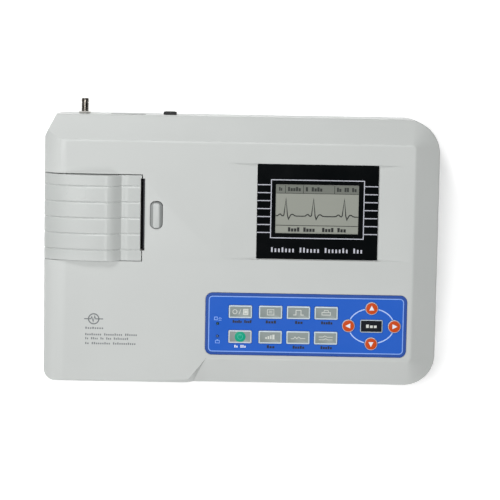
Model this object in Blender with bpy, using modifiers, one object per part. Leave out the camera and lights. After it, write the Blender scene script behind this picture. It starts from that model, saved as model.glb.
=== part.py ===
"""Portable single-channel ECG machine with a clamshell paper printer, a small display and a keypad.

Lengths are in metres and +Z is up. The empty case_frame holds what is placed square to the base, with +X to
the right and +Y to the rear. The empty panel_frame holds what follows the sloping top: its local Z is the
panel's normal and its local XY plane is the panel's face.
"""

import math

import bmesh
import bpy
from mathutils import Matrix, Vector

MM = 0.001

# Case
HALF_W = 157.5 * MM
HALF_D = 107.5 * MM
WALL = 2.5 * MM
FOOT_H = 3.0 * MM
SPLIT_Z = 26.0 * MM
GAP = 0.3 * MM
WEDGE = math.radians(6.0)
PANEL_Z = 65.3 * MM
BAND_SLOPE = math.radians(25.0)
REAR_CREASE = 87.3 * MM
RIGHT_CREASE = 137.8 * MM
FRONT_CREASE = -87.6 * MM
CREASE_R = 3.0 * MM
REAR_R = 28.0 * MM
FRONT_R = 25.0 * MM
LEFT_R = 9.5 * MM
LEFT_RUN = 19.2 * MM
LEFT_DROP = 8.0 * MM
BEVEL_CORNER = 9.2 * MM
BEVEL_RUN = 18.3 * MM

# Display
WINDOW_X = (12.2 * MM, 108.8 * MM)
WINDOW_V = (-5.7 * MM, 70.7 * MM)
WINDOW_DROP = 1.6 * MM
RAMP_X = (-4.0 * MM, 131.0 * MM)

# Keypad
PAD_X = (-27.5 * MM, 133.8 * MM)
PAD_V = (-84.4 * MM, -33.9 * MM)
PAD_R = 5.6 * MM
PAD_TOP = 0.4 * MM
PAD_T = 1.6 * MM
KEY_SIZE = (18.6 * MM, 10.3 * MM)
KEY_COLUMNS = (0.5 * MM, 24.7 * MM, 47.0 * MM, 69.2 * MM)
KEY_ROWS = (-49.0 * MM, -69.4 * MM)
KEY_TOP = 1.1 * MM
KEY_FOOT = -3.4 * MM
CURSOR = (105.6 * MM, -59.0 * MM)
CURSOR_REACH = (18.4 * MM, 14.4 * MM)
CURSOR_R = 5.1 * MM
OK_SIZE = (17.8 * MM, 10.2 * MM)
LAMP_X = -17.6 * MM
LAMP_V = (-59.0 * MM, -69.2 * MM)
LAMP_R = 1.1 * MM

# Printer, all in the panel frame
DOOR_V = 25.3 * MM
DOOR_HALF = 34.6 * MM
DOOR_RIGHT = -79.6 * MM
DOOR_T = 2.4 * MM
HINGE = Vector((-154.0, 25.3, -30.5)) * MM
BARREL_R = 3.4 * MM
PIN_R = 1.5 * MM
RUN_GAP = 0.06 * MM
GROOVE_PITCH = 12.8 * MM
GROOVE_DEPTH = 0.7 * MM
SLOT_X = (-80.5 * MM, -77.0 * MM)
SLOT_V = (-0.9 * MM, 57.4 * MM)
PLATEN = Vector((-84.6, 28.2, -9.0)) * MM
PLATEN_R = 5.0 * MM
PLATEN_LEN = 56.0 * MM
ROLL = Vector((-122.0, 28.2, -21.0)) * MM
ROLL_R = 20.5 * MM
ROLL_LEN = 50.0 * MM
SPINDLE_R = 6.0 * MM
MODULE = 0.7 * MM
TEETH = {"platen": 14, "idler": 24, "motor": 10}
GEAR_V = (-6.4 * MM, -2.4 * MM)
MESH_GAP = 0.15 * MM
TRAY_X = (-149.5 * MM, -66.0 * MM)
TRAY_V = (-12.2 * MM, 63.2 * MM)
TRAY_N = (-50.0 * MM, -3.2 * MM)
TRAY_T = 2.0 * MM
BUTTON = Vector((-67.8, 27.9, 0.0)) * MM
BUTTON_SIZE = (9.6 * MM, 21.2 * MM)
LATCH = Vector((-71.5, 25.6, -34.5)) * MM

# Rear panel, in the case frame
REAR_Z = 46.0 * MM
STUD_X = -126.9 * MM
STUD_OUT = 12.3 * MM
INLET_X = -92.0 * MM
SWITCH_X = -58.5 * MM
SCREW_SPOTS = ((-140, -85), (135, -85), (-140, 84), (133, 80))
FOOT_SPOTS = ((-138, -66), (138, -66), (-138, 66), (138, 66))
POST_SPOTS = ((-28, -70), (120, -70), (-28, 66), (120, 66))


def clear_scene():
    for obj in list(bpy.data.objects):
        bpy.data.objects.remove(obj, do_unlink=True)


def frame_empty(name, location, tilt, parent=None):
    empty = bpy.data.objects.new(name, None)
    bpy.context.scene.collection.objects.link(empty)
    empty.parent = parent
    empty.location = location
    empty.rotation_euler = (tilt, 0, 0)
    return empty


clear_scene()
CUTTERS = bpy.data.collections.new("cutters")
bpy.context.scene.collection.children.link(CUTTERS)
CASE = frame_empty("case_frame", (0, -STUD_OUT / 2, 0), 0)
PANEL = frame_empty("panel_frame", (0, 0, PANEL_Z), WEDGE, CASE)
TO_CASE = Matrix.Translation((0, 0, PANEL_Z)) @ Matrix.Rotation(WEDGE, 4, "X")


# Shapes


def add_box(bm, low, high):
    """A box between two corners."""
    size = [b - a for a, b in zip(low, high)]
    middle = [(a + b) / 2 for a, b in zip(low, high)]
    matrix = Matrix.Translation(middle) @ Matrix.Diagonal((*size, 1))
    bmesh.ops.create_cube(bm, size=1, matrix=matrix)


def add_lathe(bm, profile, steps=24, axis="Z", centre=(0, 0, 0)):
    """Revolves (radius, height) points into a closed solid. Equal first and last points make a ring."""
    ring = profile[0] == profile[-1]
    points = profile[:-1] if ring else profile
    turn = {"X": Matrix.Rotation(math.pi / 2, 4, "Y"), "Y": Matrix.Rotation(-math.pi / 2, 4, "X")}
    place = Matrix.Translation(centre) @ turn.get(axis, Matrix.Identity(4))
    loops = []
    for radius, height in points:
        if radius < 1e-9:
            loops.append([bm.verts.new(place @ Vector((0, 0, height)))])
            continue
        loop = []
        for step in range(steps):
            angle = math.tau * step / steps
            spot = Vector((radius * math.cos(angle), radius * math.sin(angle), height))
            loop.append(bm.verts.new(place @ spot))
        loops.append(loop)
    pairs = list(zip(loops, loops[1:]))
    if ring:
        pairs.append((loops[-1], loops[0]))
    for lower, upper in pairs:
        for step in range(steps):
            following = (step + 1) % steps
            corners = [lower[step % len(lower)], lower[following % len(lower)]]
            corners += [upper[following % len(upper)], upper[step % len(upper)]]
            bm.faces.new(list(dict.fromkeys(corners)))
    if not ring:
        for loop in (loops[0], loops[-1]):
            if len(loop) > 2:
                bm.faces.new(loop)


def disc(radius, low, high):
    return [(radius, low), (radius, high)]


def tube(inner, outer, low, high):
    return [(inner, low), (outer, low), (outer, high), (inner, high), (inner, low)]


def add_prism(bm, outline, low, high, axis="Z"):
    """Extrudes a closed outline. Along Y the outline holds (x, z) points, along X it holds (y, z) points."""
    spots = {
        "Z": lambda a, b, c: (a, b, c),
        "Y": lambda a, b, c: (a, c, b),
        "X": lambda a, b, c: (c, a, b),
    }[axis]
    bottom = [bm.verts.new(spots(a, b, low)) for a, b in outline]
    top = [bm.verts.new(spots(a, b, high)) for a, b in outline]
    bm.faces.new(bottom)
    bm.faces.new(top)
    for index in range(len(outline)):
        after = (index + 1) % len(outline)
        bm.faces.new((bottom[index], bottom[after], top[after], top[index]))


def rounded(x, y, radius, steps=5):
    """The outline of a rectangle between x and y limits with round corners."""
    corners = ((x[1], y[1], 0), (x[0], y[1], 90), (x[0], y[0], 180), (x[1], y[0], 270))
    outline = []
    for corner_x, corner_y, start in corners:
        centre_x = corner_x - radius * (1 if corner_x == x[1] else -1)
        centre_y = corner_y - radius * (1 if corner_y == y[1] else -1)
        for step in range(steps + 1):
            angle = math.radians(start + 90 * step / steps)
            outline.append((centre_x + radius * math.cos(angle), centre_y + radius * math.sin(angle)))
    return outline


def centred(middle, size):
    return (middle - size / 2, middle + size / 2)


def chop(bm, point, normal):
    """Removes what lies beyond a plane and closes the cut."""
    geometry = bm.verts[:] + bm.edges[:] + bm.faces[:]
    result = bmesh.ops.bisect_plane(
        bm, geom=geometry, dist=1e-6, plane_co=point, plane_no=normal, clear_outer=True
    )
    edges = [item for item in result["geom_cut"] if isinstance(item, bmesh.types.BMEdge)]
    if edges:
        bmesh.ops.edgeloop_fill(bm, edges=edges)


def add_convex(bm, low, high, planes, inset=0.0):
    """A box chopped by planes, each moved inwards by the inset."""
    add_box(bm, low, high)
    for point, normal in planes:
        chop(bm, point - normal * inset, normal)


def make(name, build, colour, parent=PANEL, at=(0, 0, 0), smooth=False, roughness=0.5, metallic=0.0):
    """A node: build fills a bmesh, placed at a point of its parent's frame."""
    bm = bmesh.new()
    build(bm)
    bmesh.ops.remove_doubles(bm, verts=bm.verts, dist=1e-6)
    bmesh.ops.recalc_face_normals(bm, faces=bm.faces)
    for face in bm.faces:
        face.smooth = smooth
    mesh = bpy.data.meshes.new(name)
    bm.to_mesh(mesh)
    bm.free()
    obj = bpy.data.objects.new(name, mesh)
    obj.parent = parent
    obj.location = at
    if colour is None:
        CUTTERS.objects.link(obj)
        obj.hide_render = True
        obj.display_type = "WIRE"
        return obj
    bpy.context.scene.collection.objects.link(obj)
    material = bpy.data.materials.new(name)
    material.use_nodes = True
    shader = material.node_tree.nodes["Principled BSDF"]
    shader.inputs["Base Color"].default_value = (*colour, 1)
    shader.inputs["Roughness"].default_value = roughness
    shader.inputs["Metallic"].default_value = metallic
    mesh.materials.append(material)
    if smooth:
        mesh.set_sharp_from_angle(angle=math.radians(40))
    return obj


def combine(obj, label, build, operation="DIFFERENCE", parent=None, at=None):
    """Cuts a shape from an object, or joins one to it, in the object's own placement unless told."""
    spot = obj.location if at is None else at
    helper = make(f"{obj.name}_{label}", build, None, parent or obj.parent, spot)
    modifier = obj.modifiers.new(label, "BOOLEAN")
    modifier.operation = operation
    modifier.solver = "EXACT"
    modifier.object = helper


def bevel(obj, width, segments=2):
    modifier = obj.modifiers.new("bevel", "BEVEL")
    modifier.width = width
    modifier.segments = segments
    modifier.limit_method = "ANGLE"
    modifier.angle_limit = math.radians(50)


# Case


def panel_plane(x, v, n, normal):
    """A plane given in the panel frame, as a point and a normal in the case frame."""
    return TO_CASE @ Vector((x, v, n)), (TO_CASE.to_3x3() @ Vector(normal)).normalized()


def wall_planes():
    """The upright faces of the case."""
    planes = [
        (Vector((-HALF_W, 0, 0)), Vector((-1, 0, 0))),
        (Vector((HALF_W, 0, 0)), Vector((1, 0, 0))),
        (Vector((0, HALF_D, 0)), Vector((0, 1, 0))),
        (Vector((0, -HALF_D, 0)), Vector((0, -1, 0))),
    ]
    corners = (
        (HALF_W - REAR_R, HALF_D - REAR_R, REAR_R, 0, 6),
        (HALF_W - FRONT_R, FRONT_R - HALF_D, FRONT_R, 270, 6),
        (LEFT_R - HALF_W, LEFT_R - HALF_D, LEFT_R, 180, 4),
    )
    for centre_x, centre_y, radius, start, parts in corners:
        for part in range(1, parts):
            angle = math.radians(start + 90 * part / parts)
            out = Vector((math.cos(angle), math.sin(angle), 0))
            planes.append((Vector((centre_x, centre_y, 0)) + out * radius, out))
    across = Vector((-BEVEL_RUN, BEVEL_CORNER, 0)).normalized()
    planes.append((Vector((-HALF_W, HALF_D - BEVEL_RUN, 0)), across))
    return planes


def top_planes():
    """The panel, the sloping band behind it and to its right, and the rounded left shoulder."""
    rise, run = math.cos(BAND_SLOPE), math.sin(BAND_SLOPE)
    planes = [panel_plane(0, 0, 0, (0, 0, 1))]
    corners = (
        (RIGHT_CREASE - CREASE_R, REAR_CREASE - CREASE_R, 0, range(0, 7)),
        (RIGHT_CREASE - CREASE_R, FRONT_CREASE + CREASE_R, 270, range(1, 6)),
    )
    for centre_x, centre_v, start, parts in corners:
        for part in parts:
            angle = math.radians(start + 15 * part)
            x = centre_x + CREASE_R * math.cos(angle)
            v = centre_v + CREASE_R * math.sin(angle)
            planes.append(panel_plane(x, v, 0, (math.cos(angle) * run, math.sin(angle) * run, rise)))
    for degrees in (12, 30, 48, 66, 80):
        angle = math.radians(degrees)
        x = LEFT_RUN - HALF_W - LEFT_RUN * math.sin(angle)
        n = LEFT_DROP * (math.cos(angle) - 1)
        normal = (-math.sin(angle) / LEFT_RUN, 0, math.cos(angle) / LEFT_DROP)
        planes.append(panel_plane(x, 0, n, normal))
    return planes


def front_cut(bm, inset=0.0):
    """What the sloping front band takes off, ending at the slanting step on its left."""
    rise, run = math.cos(BAND_SLOPE), math.sin(BAND_SLOPE)
    band = panel_plane(0, FRONT_CREASE, 0, (0, run, -rise))
    corner = Vector((-26.7, -87.6, 0)) * MM
    upper = Vector((-41.5, -106.6, 0)) * MM
    lower = Vector((-36.5, -108.3, -9.5)) * MM
    slant = (upper - corner).cross(lower - corner)
    slant *= -1 if slant.x > 0 else 1
    step = panel_plane(*corner, slant)
    low = (-0.08, -0.16, 0.03)
    high = (0.2, -0.03, 0.09)
    add_convex(bm, low, high, [band, step], -inset)


def upper_case_outer(bm):
    low = (-0.17, -0.12, SPLIT_Z + GAP)
    add_convex(bm, low, (0.17, 0.12, 0.1), wall_planes() + top_planes())


def upper_case_inner(bm):
    low = (-0.17, -0.12, SPLIT_Z - 0.01)
    add_convex(bm, low, (0.17, 0.12, 0.1), wall_planes() + top_planes(), WALL)


def under_panel(x, y, depth):
    """The height in the case frame of a point that lies below the panel by depth."""
    return PANEL_Z + y * math.tan(WEDGE) - depth / math.cos(WEDGE)


def build_upper_case():
    case = make("upper_case", upper_case_outer, (0.62, 0.64, 0.63), CASE)
    combine(case, "front_band", front_cut)
    inner = make("upper_case_hollow", upper_case_inner, None, CASE)
    taken = inner.modifiers.new("front_band", "BOOLEAN")
    taken.object = make("hollow_front_band", lambda bm: front_cut(bm, WALL), None, CASE)
    taken.solver = "EXACT"
    hollow = case.modifiers.new("hollow", "BOOLEAN")
    hollow.object = inner
    hollow.solver = "EXACT"

    def bosses(bm):
        for x, y in SCREW_SPOTS:
            top = under_panel(x * MM, y * MM, 1.4 * MM) - (0.6 * MM if x > 0 else 1.0 * MM)
            add_lathe(bm, disc(4 * MM, SPLIT_Z + 0.6 * MM, top), 16, centre=(x * MM, y * MM, 0))

    def boss_holes(bm):
        for x, y in SCREW_SPOTS:
            add_lathe(bm, disc(1.7 * MM, 0.02, 0.039), 12, centre=(x * MM, y * MM, 0))

    combine(case, "bosses", bosses, "UNION")
    combine(case, "boss_holes", boss_holes)

    def hinge_lugs(bm):
        for start, end in ((-15.2, -10.0), (60.6, 65.8)):
            low = (-156.6 * MM, start * MM, -35.6 * MM)
            add_box(bm, low, (-150.2 * MM, end * MM, -25.4 * MM))

    combine(case, "hinge_lugs", hinge_lugs, "UNION", PANEL, (0, 0, 0))

    def hinge_holes(bm):
        spot = (HINGE.x, 0, HINGE.z)
        add_lathe(bm, disc(PIN_R + RUN_GAP, -13.6 * MM, 64.2 * MM), 16, "Y", spot)

    combine(case, "hinge_holes", hinge_holes, parent=PANEL, at=(0, 0, 0))

    def door_opening(bm):
        low = (-0.17, DOOR_V - DOOR_HALF - GAP, HINGE.z - BARREL_R - 0.8 * MM)
        add_box(bm, low, (DOOR_RIGHT + GAP, DOOR_V + DOOR_HALF + GAP, 0.02))

    combine(case, "door_opening", door_opening, parent=PANEL, at=(0, 0, 0))

    def slot_and_button(bm):
        add_box(bm, (SLOT_X[0], SLOT_V[0], -0.006), (SLOT_X[1], SLOT_V[1], 0.006))
        x = centred(BUTTON.x, BUTTON_SIZE[0] + 2 * GAP)
        v = centred(BUTTON.y, BUTTON_SIZE[1] + 2 * GAP)
        add_prism(bm, rounded(x, v, BUTTON_SIZE[0] / 2, 6), -0.006, 0.006)

    combine(case, "slot_and_button", slot_and_button, parent=PANEL, at=(0, 0, 0))

    def display_recess(bm):
        ramp = 4 * WINDOW_DROP
        outline = [
            (RAMP_X[0], 0.0),
            (WINDOW_X[0] - GAP, -WINDOW_DROP),
            (WINDOW_X[1] + GAP, -WINDOW_DROP),
            (RAMP_X[1], 0.0),
            (RAMP_X[1] + 3 * ramp, ramp),
            (RAMP_X[0] - 3 * ramp, ramp),
        ]
        add_prism(bm, outline, WINDOW_V[0] - 0.8 * MM, WINDOW_V[1] + 0.3 * MM, "Y")

    combine(case, "display_recess", display_recess, parent=PANEL, at=(0, 0, 0))

    def display_opening(bm):
        x = (WINDOW_X[0] + 4 * MM, WINDOW_X[1] - 4 * MM)
        v = (WINDOW_V[0] + 4 * MM, WINDOW_V[1] - 4 * MM)
        add_prism(bm, rounded(x, v, 1 * MM, 2), -0.02, 0.004)

    combine(case, "display_opening", display_opening, parent=PANEL, at=(0, 0, 0))

    def keypad_recess(bm):
        x = (PAD_X[0] - GAP, PAD_X[1] + GAP)
        v = (PAD_V[0] - GAP, PAD_V[1] + GAP)
        add_prism(bm, rounded(x, v, PAD_R + GAP), PAD_TOP - PAD_T - 0.1 * MM, 0.006)

    combine(case, "keypad_recess", keypad_recess, parent=PANEL, at=(0, 0, 0))

    def keypad_opening(bm):
        x = (PAD_X[0] + 4 * MM, PAD_X[1] - 4 * MM)
        v = (PAD_V[0] + 4 * MM, PAD_V[1] - 4 * MM)
        add_prism(bm, rounded(x, v, 3 * MM, 3), -0.02, 0.004)

    combine(case, "keypad_opening", keypad_opening, parent=PANEL, at=(0, 0, 0))

    def wall_openings(bm):
        for x, half_x, half_z in ((INLET_X, 14.0, 10.3), (SWITCH_X, 5.0, 8.0)):
            low = (x - half_x * MM, 0.1, REAR_Z - half_z * MM)
            add_box(bm, low, (x + half_x * MM, 0.12, REAR_Z + half_z * MM))
        add_lathe(bm, disc(3.2 * MM, 0.1, 0.12), 16, "Y", (STUD_X, 0, REAR_Z))
        add_box(bm, (0.15, 6.9 * MM, 35.5 * MM), (0.17, 33.1 * MM, 44.5 * MM))
        add_box(bm, (0.15, -36.8 * MM, 36.4 * MM), (0.17, -23.2 * MM, 43.6 * MM))

    combine(case, "wall_openings", wall_openings)


def build_lower_case():
    chamfer = 3.0 * MM

    def bottom_planes():
        planes = []
        for point, normal in wall_planes():
            tilted = (normal + Vector((0, 0, -1))).normalized()
            planes.append((point + Vector((0, 0, FOOT_H + chamfer)), tilted))
        return planes

    def outer(bm):
        add_convex(bm, (-0.17, -0.12, FOOT_H), (0.17, 0.12, SPLIT_Z), wall_planes() + bottom_planes())

    def inner(bm):
        low = (-0.17, -0.12, FOOT_H + WALL)
        add_convex(bm, low, (0.17, 0.12, SPLIT_Z + 0.01), wall_planes() + bottom_planes(), WALL)

    case = make("lower_case", outer, (0.58, 0.6, 0.59), CASE)
    combine(case, "hollow", inner)

    def bosses(bm):
        for x, y in SCREW_SPOTS:
            profile = disc(4.2 * MM, FOOT_H + 1 * MM, SPLIT_Z)
            add_lathe(bm, profile, 16, centre=(x * MM, y * MM, 0))
        for x, y in POST_SPOTS:
            profile = disc(3 * MM, FOOT_H + 1 * MM, 31.7 * MM)
            add_lathe(bm, profile, 12, centre=(x * MM, y * MM, 0))

    def battery_walls(bm):
        add_box(bm, (26 * MM, -62 * MM, FOOT_H + 1 * MM), (112 * MM, -6 * MM, 24 * MM))

    def battery_bay(bm):
        add_box(bm, (28 * MM, -60 * MM, FOOT_H + 2.3 * MM), (110 * MM, -8 * MM, 0.03))

    def battery_door_hole(bm):
        low = (25 * MM, -63 * MM, FOOT_H - 1 * MM)
        add_box(bm, low, (113 * MM, -5 * MM, FOOT_H + 1.6 * MM))

    def battery_through(bm):
        low = (30 * MM, -58 * MM, FOOT_H + 1 * MM)
        add_box(bm, low, (108 * MM, -10 * MM, FOOT_H + 3 * MM))

    def screw_holes(bm):
        for x, y in SCREW_SPOTS:
            profile = [
                (3.3 * MM, FOOT_H - 1 * MM),
                (3.3 * MM, FOOT_H + 4.3 * MM),
                (1.7 * MM, FOOT_H + 4.3 * MM),
                (1.7 * MM, SPLIT_Z + 1 * MM),
            ]
            add_lathe(bm, profile, 16, centre=(x * MM, y * MM, 0))
        profile = disc(1.3 * MM, FOOT_H, 9 * MM)
        add_lathe(bm, profile, 12, centre=(118 * MM, -34 * MM, 0))

    def cover_boss(bm):
        profile = disc(3.2 * MM, FOOT_H + 1 * MM, 10.5 * MM)
        add_lathe(bm, profile, 12, centre=(118 * MM, -34 * MM, 0))
        add_box(bm, (-49 * MM, 70 * MM, FOOT_H + 1 * MM), (-44 * MM, 100 * MM, 12 * MM))
        add_box(bm, (-132 * MM, 70 * MM, FOOT_H + 1 * MM), (-127 * MM, 100 * MM, 12 * MM))

    def cover_tab(bm):
        low = (112.9 * MM, -38 * MM, FOOT_H - 1 * MM)
        add_box(bm, low, (122 * MM, -30 * MM, FOOT_H + 1.6 * MM))

    combine(case, "bosses", bosses, "UNION")
    combine(case, "battery_walls", battery_walls, "UNION")
    combine(case, "cover_boss", cover_boss, "UNION")
    combine(case, "battery_bay", battery_bay)
    combine(case, "battery_through", battery_through)
    combine(case, "battery_door", battery_door_hole)
    combine(case, "cover_tab", cover_tab)
    combine(case, "screw_holes", screw_holes)


def build_base_parts():
    foot = [(6.5 * MM, 0), (7 * MM, 0.6 * MM), (7 * MM, FOOT_H - GAP)]
    for index, (x, y) in enumerate(FOOT_SPOTS, 1):
        spot = (x * MM, y * MM, 0)
        make(f"foot_{index}", lambda bm: add_lathe(bm, foot), (0.03, 0.03, 0.03), CASE, spot, True)
    screw = [
        (0.6 * MM, 1.2 * MM),
        (0.6 * MM, 0),
        (2.9 * MM, 0),
        (2.9 * MM, 2.2 * MM),
        (1.5 * MM, 2.6 * MM),
        (1.5 * MM, 30 * MM),
        (0.5 * MM, 32 * MM),
        (0, 32 * MM),
    ]
    screw.insert(0, (0, 1.2 * MM))
    for index, (x, y) in enumerate(SCREW_SPOTS, 1):
        spot = (x * MM, y * MM, FOOT_H + 1.6 * MM)
        make(f"case_screw_{index}", lambda bm: add_lathe(bm, screw, 16), (0.5, 0.5, 0.5), CASE, spot, True)

    def cover(bm):
        outline = [
            (25.3, -62.7),
            (112.7, -62.7),
            (112.7, -37.7),
            (121.7, -37.7),
            (121.7, -30.3),
            (112.7, -30.3),
            (112.7, -5.3),
            (25.3, -5.3),
        ]
        add_prism(bm, [(x * MM, y * MM) for x, y in outline], FOOT_H, FOOT_H + 1.3 * MM)

    battery_cover = make("battery_cover", cover, (0.58, 0.6, 0.59), CASE)

    def cover_hole(bm):
        add_lathe(bm, disc(1.3 * MM, 0, 0.01), 12, centre=(118 * MM, -34 * MM, 0))

    combine(battery_cover, "screw_hole", cover_hole)
    small = [(0, 0.6 * MM), (0.5 * MM, 0.6 * MM), (0.5 * MM, 0), (2.2 * MM, 0), (2.4 * MM, 1 * MM)]
    small += [(1.1 * MM, 1 * MM), (1.1 * MM, 6 * MM), (0, 6.4 * MM)]
    spot = (118 * MM, -34 * MM, FOOT_H - 1.3 * MM)
    make("battery_screw", lambda bm: add_lathe(bm, small, 16), (0.5, 0.5, 0.5), CASE, spot, True)

    def pack(bm):
        add_box(bm, (29 * MM, -59 * MM, FOOT_H + 2.7 * MM), (109 * MM, -9 * MM, 25.5 * MM))

    bevel(make("battery_pack", pack, (0.05, 0.12, 0.3), CASE), 1.5 * MM)


# Display and keypad


def build_display():
    def window(bm):
        add_prism(bm, rounded(WINDOW_X, WINDOW_V, 1.5 * MM, 3), -WINDOW_DROP + 0.1 * MM - 0.9 * MM, -WINDOW_DROP + 0.1 * MM)

    pane = make("display_window", window, (0.01, 0.012, 0.014), roughness=0.1)
    pane.location.z = 1.2 * MM

    def module(bm):
        low = (WINDOW_X[0] + 4.5 * MM, WINDOW_V[0] + 4.5 * MM, -9 * MM)
        add_box(bm, low, (WINDOW_X[1] - 4.5 * MM, WINDOW_V[1] - 4.5 * MM, -WINDOW_DROP - 0.2 * MM))

    make("lcd_module", module, (0.3, 0.32, 0.28))


def build_keypad():
    def overlay(bm):
        add_prism(bm, rounded(PAD_X, PAD_V, PAD_R), PAD_TOP - PAD_T, PAD_TOP)

    pad = make("keypad_overlay", overlay, (0.03, 0.12, 0.58))
    keys = []
    for row, names in zip(KEY_ROWS, (("start", "mode", "cal", "print"), ("power", "lead", "speed", "filter"))):
        for column, name in zip(KEY_COLUMNS, names):
            keys.append((f"key_{name}", column, row, KEY_SIZE))
    keys.append(("key_ok", CURSOR[0], CURSOR[1], OK_SIZE))
    rounds = []
    for name, across, along in (("up", 0, 1), ("down", 0, -1), ("left", -1, 0), ("right", 1, 0)):
        x = CURSOR[0] + across * CURSOR_REACH[0]
        rounds.append((f"key_{name}", x, CURSOR[1] + along * CURSOR_REACH[1]))

    def key_holes(bm):
        for _, x, v, size in keys:
            spread_x = centred(x, size[0] + 2 * GAP)
            spread_v = centred(v, size[1] + 2 * GAP)
            add_prism(bm, rounded(spread_x, spread_v, 1.3 * MM, 2), -0.004, 0.004)
        for _, x, v in rounds:
            add_lathe(bm, disc(CURSOR_R + GAP, -0.004, 0.004), 20, centre=(x, v, 0))
        for v in LAMP_V:
            add_lathe(bm, disc(LAMP_R + 0.15 * MM, -0.004, 0.004), 12, centre=(LAMP_X, v, 0))

    combine(pad, "key_holes", key_holes)

    def cap(size):
        def build(bm):
            half = (size[0] / 2, size[1] / 2)
            outline = rounded((-half[0], half[0]), (-half[1], half[1]), 1.0 * MM, 2)
            add_prism(bm, outline, KEY_FOOT, KEY_TOP)

        return build

    dark = (0.03, 0.035, 0.04)
    grey = (0.38, 0.4, 0.36)
    orange = (0.75, 0.1, 0.02)
    for name, x, v, size in keys:
        make(name, cap(size), dark if name == "key_ok" else grey, at=(x, v, 0))
    for name, x, v in rounds:
        profile = [(CURSOR_R, KEY_FOOT), (CURSOR_R, KEY_TOP - 0.3 * MM), (CURSOR_R - 0.4 * MM, KEY_TOP)]
        make(name, lambda bm, p=profile: add_lathe(bm, p, 20), orange, at=(x, v, 0), smooth=True)
    lamp = [(LAMP_R, -4.6 * MM), (LAMP_R, 0.3 * MM), (0.6 * LAMP_R, 0.7 * MM), (0, 0.85 * MM)]
    for name, v, colour in (("mains_lamp", LAMP_V[0], (0.1, 0.6, 0.2)), ("battery_lamp", LAMP_V[1], (0.7, 0.5, 0.1))):
        make(name, lambda bm: add_lathe(bm, lamp, 12), colour, at=(LAMP_X, v, 0), smooth=True)

    def board(bm):
        x = (PAD_X[0] + 5 * MM, PAD_X[1] - 5 * MM)
        v = (PAD_V[0] + 5 * MM, PAD_V[1] - 5 * MM)
        add_prism(bm, rounded(x, v, 1 * MM, 1), -6.5 * MM, -4.9 * MM)

    make("keypad_board", board, (0.02, 0.2, 0.08))


# Printer


def door_profile():
    """(x, n) points of the door's outer face, from the hinge over the dome to the edge beside the slot."""
    apex_x, apex_n, spring = -110.0 * MM, 5.4 * MM, -7.0 * MM
    points = [(-HALF_W, HINGE.z - 1.0 * MM), (-HALF_W, -26 * MM)]
    for degrees in range(90, -1, -9):
        angle = math.radians(degrees)
        x = apex_x - (HALF_W + apex_x) * math.sin(angle)
        points.append((x, spring + (apex_n - spring) * math.cos(angle)))
    ridge = ((-108.4, 5.5), (-106.9, 5.2), (-105.6, 4.6), (-98.4, 0.9), (-96.2, 0.1), (-93.6, -0.3), (-91.4, 0.0))
    points += [(x * MM, n * MM) for x, n in ridge]
    points += [(DOOR_RIGHT - 0.6 * MM, 0.0), (DOOR_RIGHT, 0.0)]
    return points


def outward(points, index):
    before = Vector(points[max(index - 1, 0)])
    after = Vector(points[min(index + 1, len(points) - 1)])
    along = (after - before).normalized()
    return Vector((-along.y, along.x))


def add_door_shell(bm):
    points = door_profile()
    count = len(points)
    stations = [(-DOOR_HALF, 0)]
    for number in range(-2, 3):
        middle = number * GROOVE_PITCH
        for offset, depth in ((-0.9, 0), (-0.35, 1), (0.35, 1), (0.9, 0)):
            stations.append((middle + offset * MM, depth))
    stations.append((DOOR_HALF, 0))

    def spot(index, v, depth):
        x, n = Vector(points[index]) - outward(points, index) * depth
        return bm.verts.new((x - HINGE.x, v, n - HINGE.z))

    outer = []
    for v, grooved in stations:
        depths = [grooved * GROOVE_DEPTH if 1 <= index < count - 1 else 0 for index in range(count)]
        outer.append([spot(index, v, depths[index]) for index in range(count)])
    inner = [[spot(index, v, DOOR_T) for index in range(count)] for v in (-DOOR_HALF, DOOR_HALF)]
    for grid in (outer, inner):
        for near, far in zip(grid, grid[1:]):
            for index in range(count - 1):
                bm.faces.new((near[index], near[index + 1], far[index + 1], far[index]))
    for side in (0, -1):
        bm.faces.new(outer[side] + inner[side][::-1])
    for end in (0, -1):
        bm.faces.new([row[end] for row in outer] + [inner[1][end], inner[0][end]])


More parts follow.
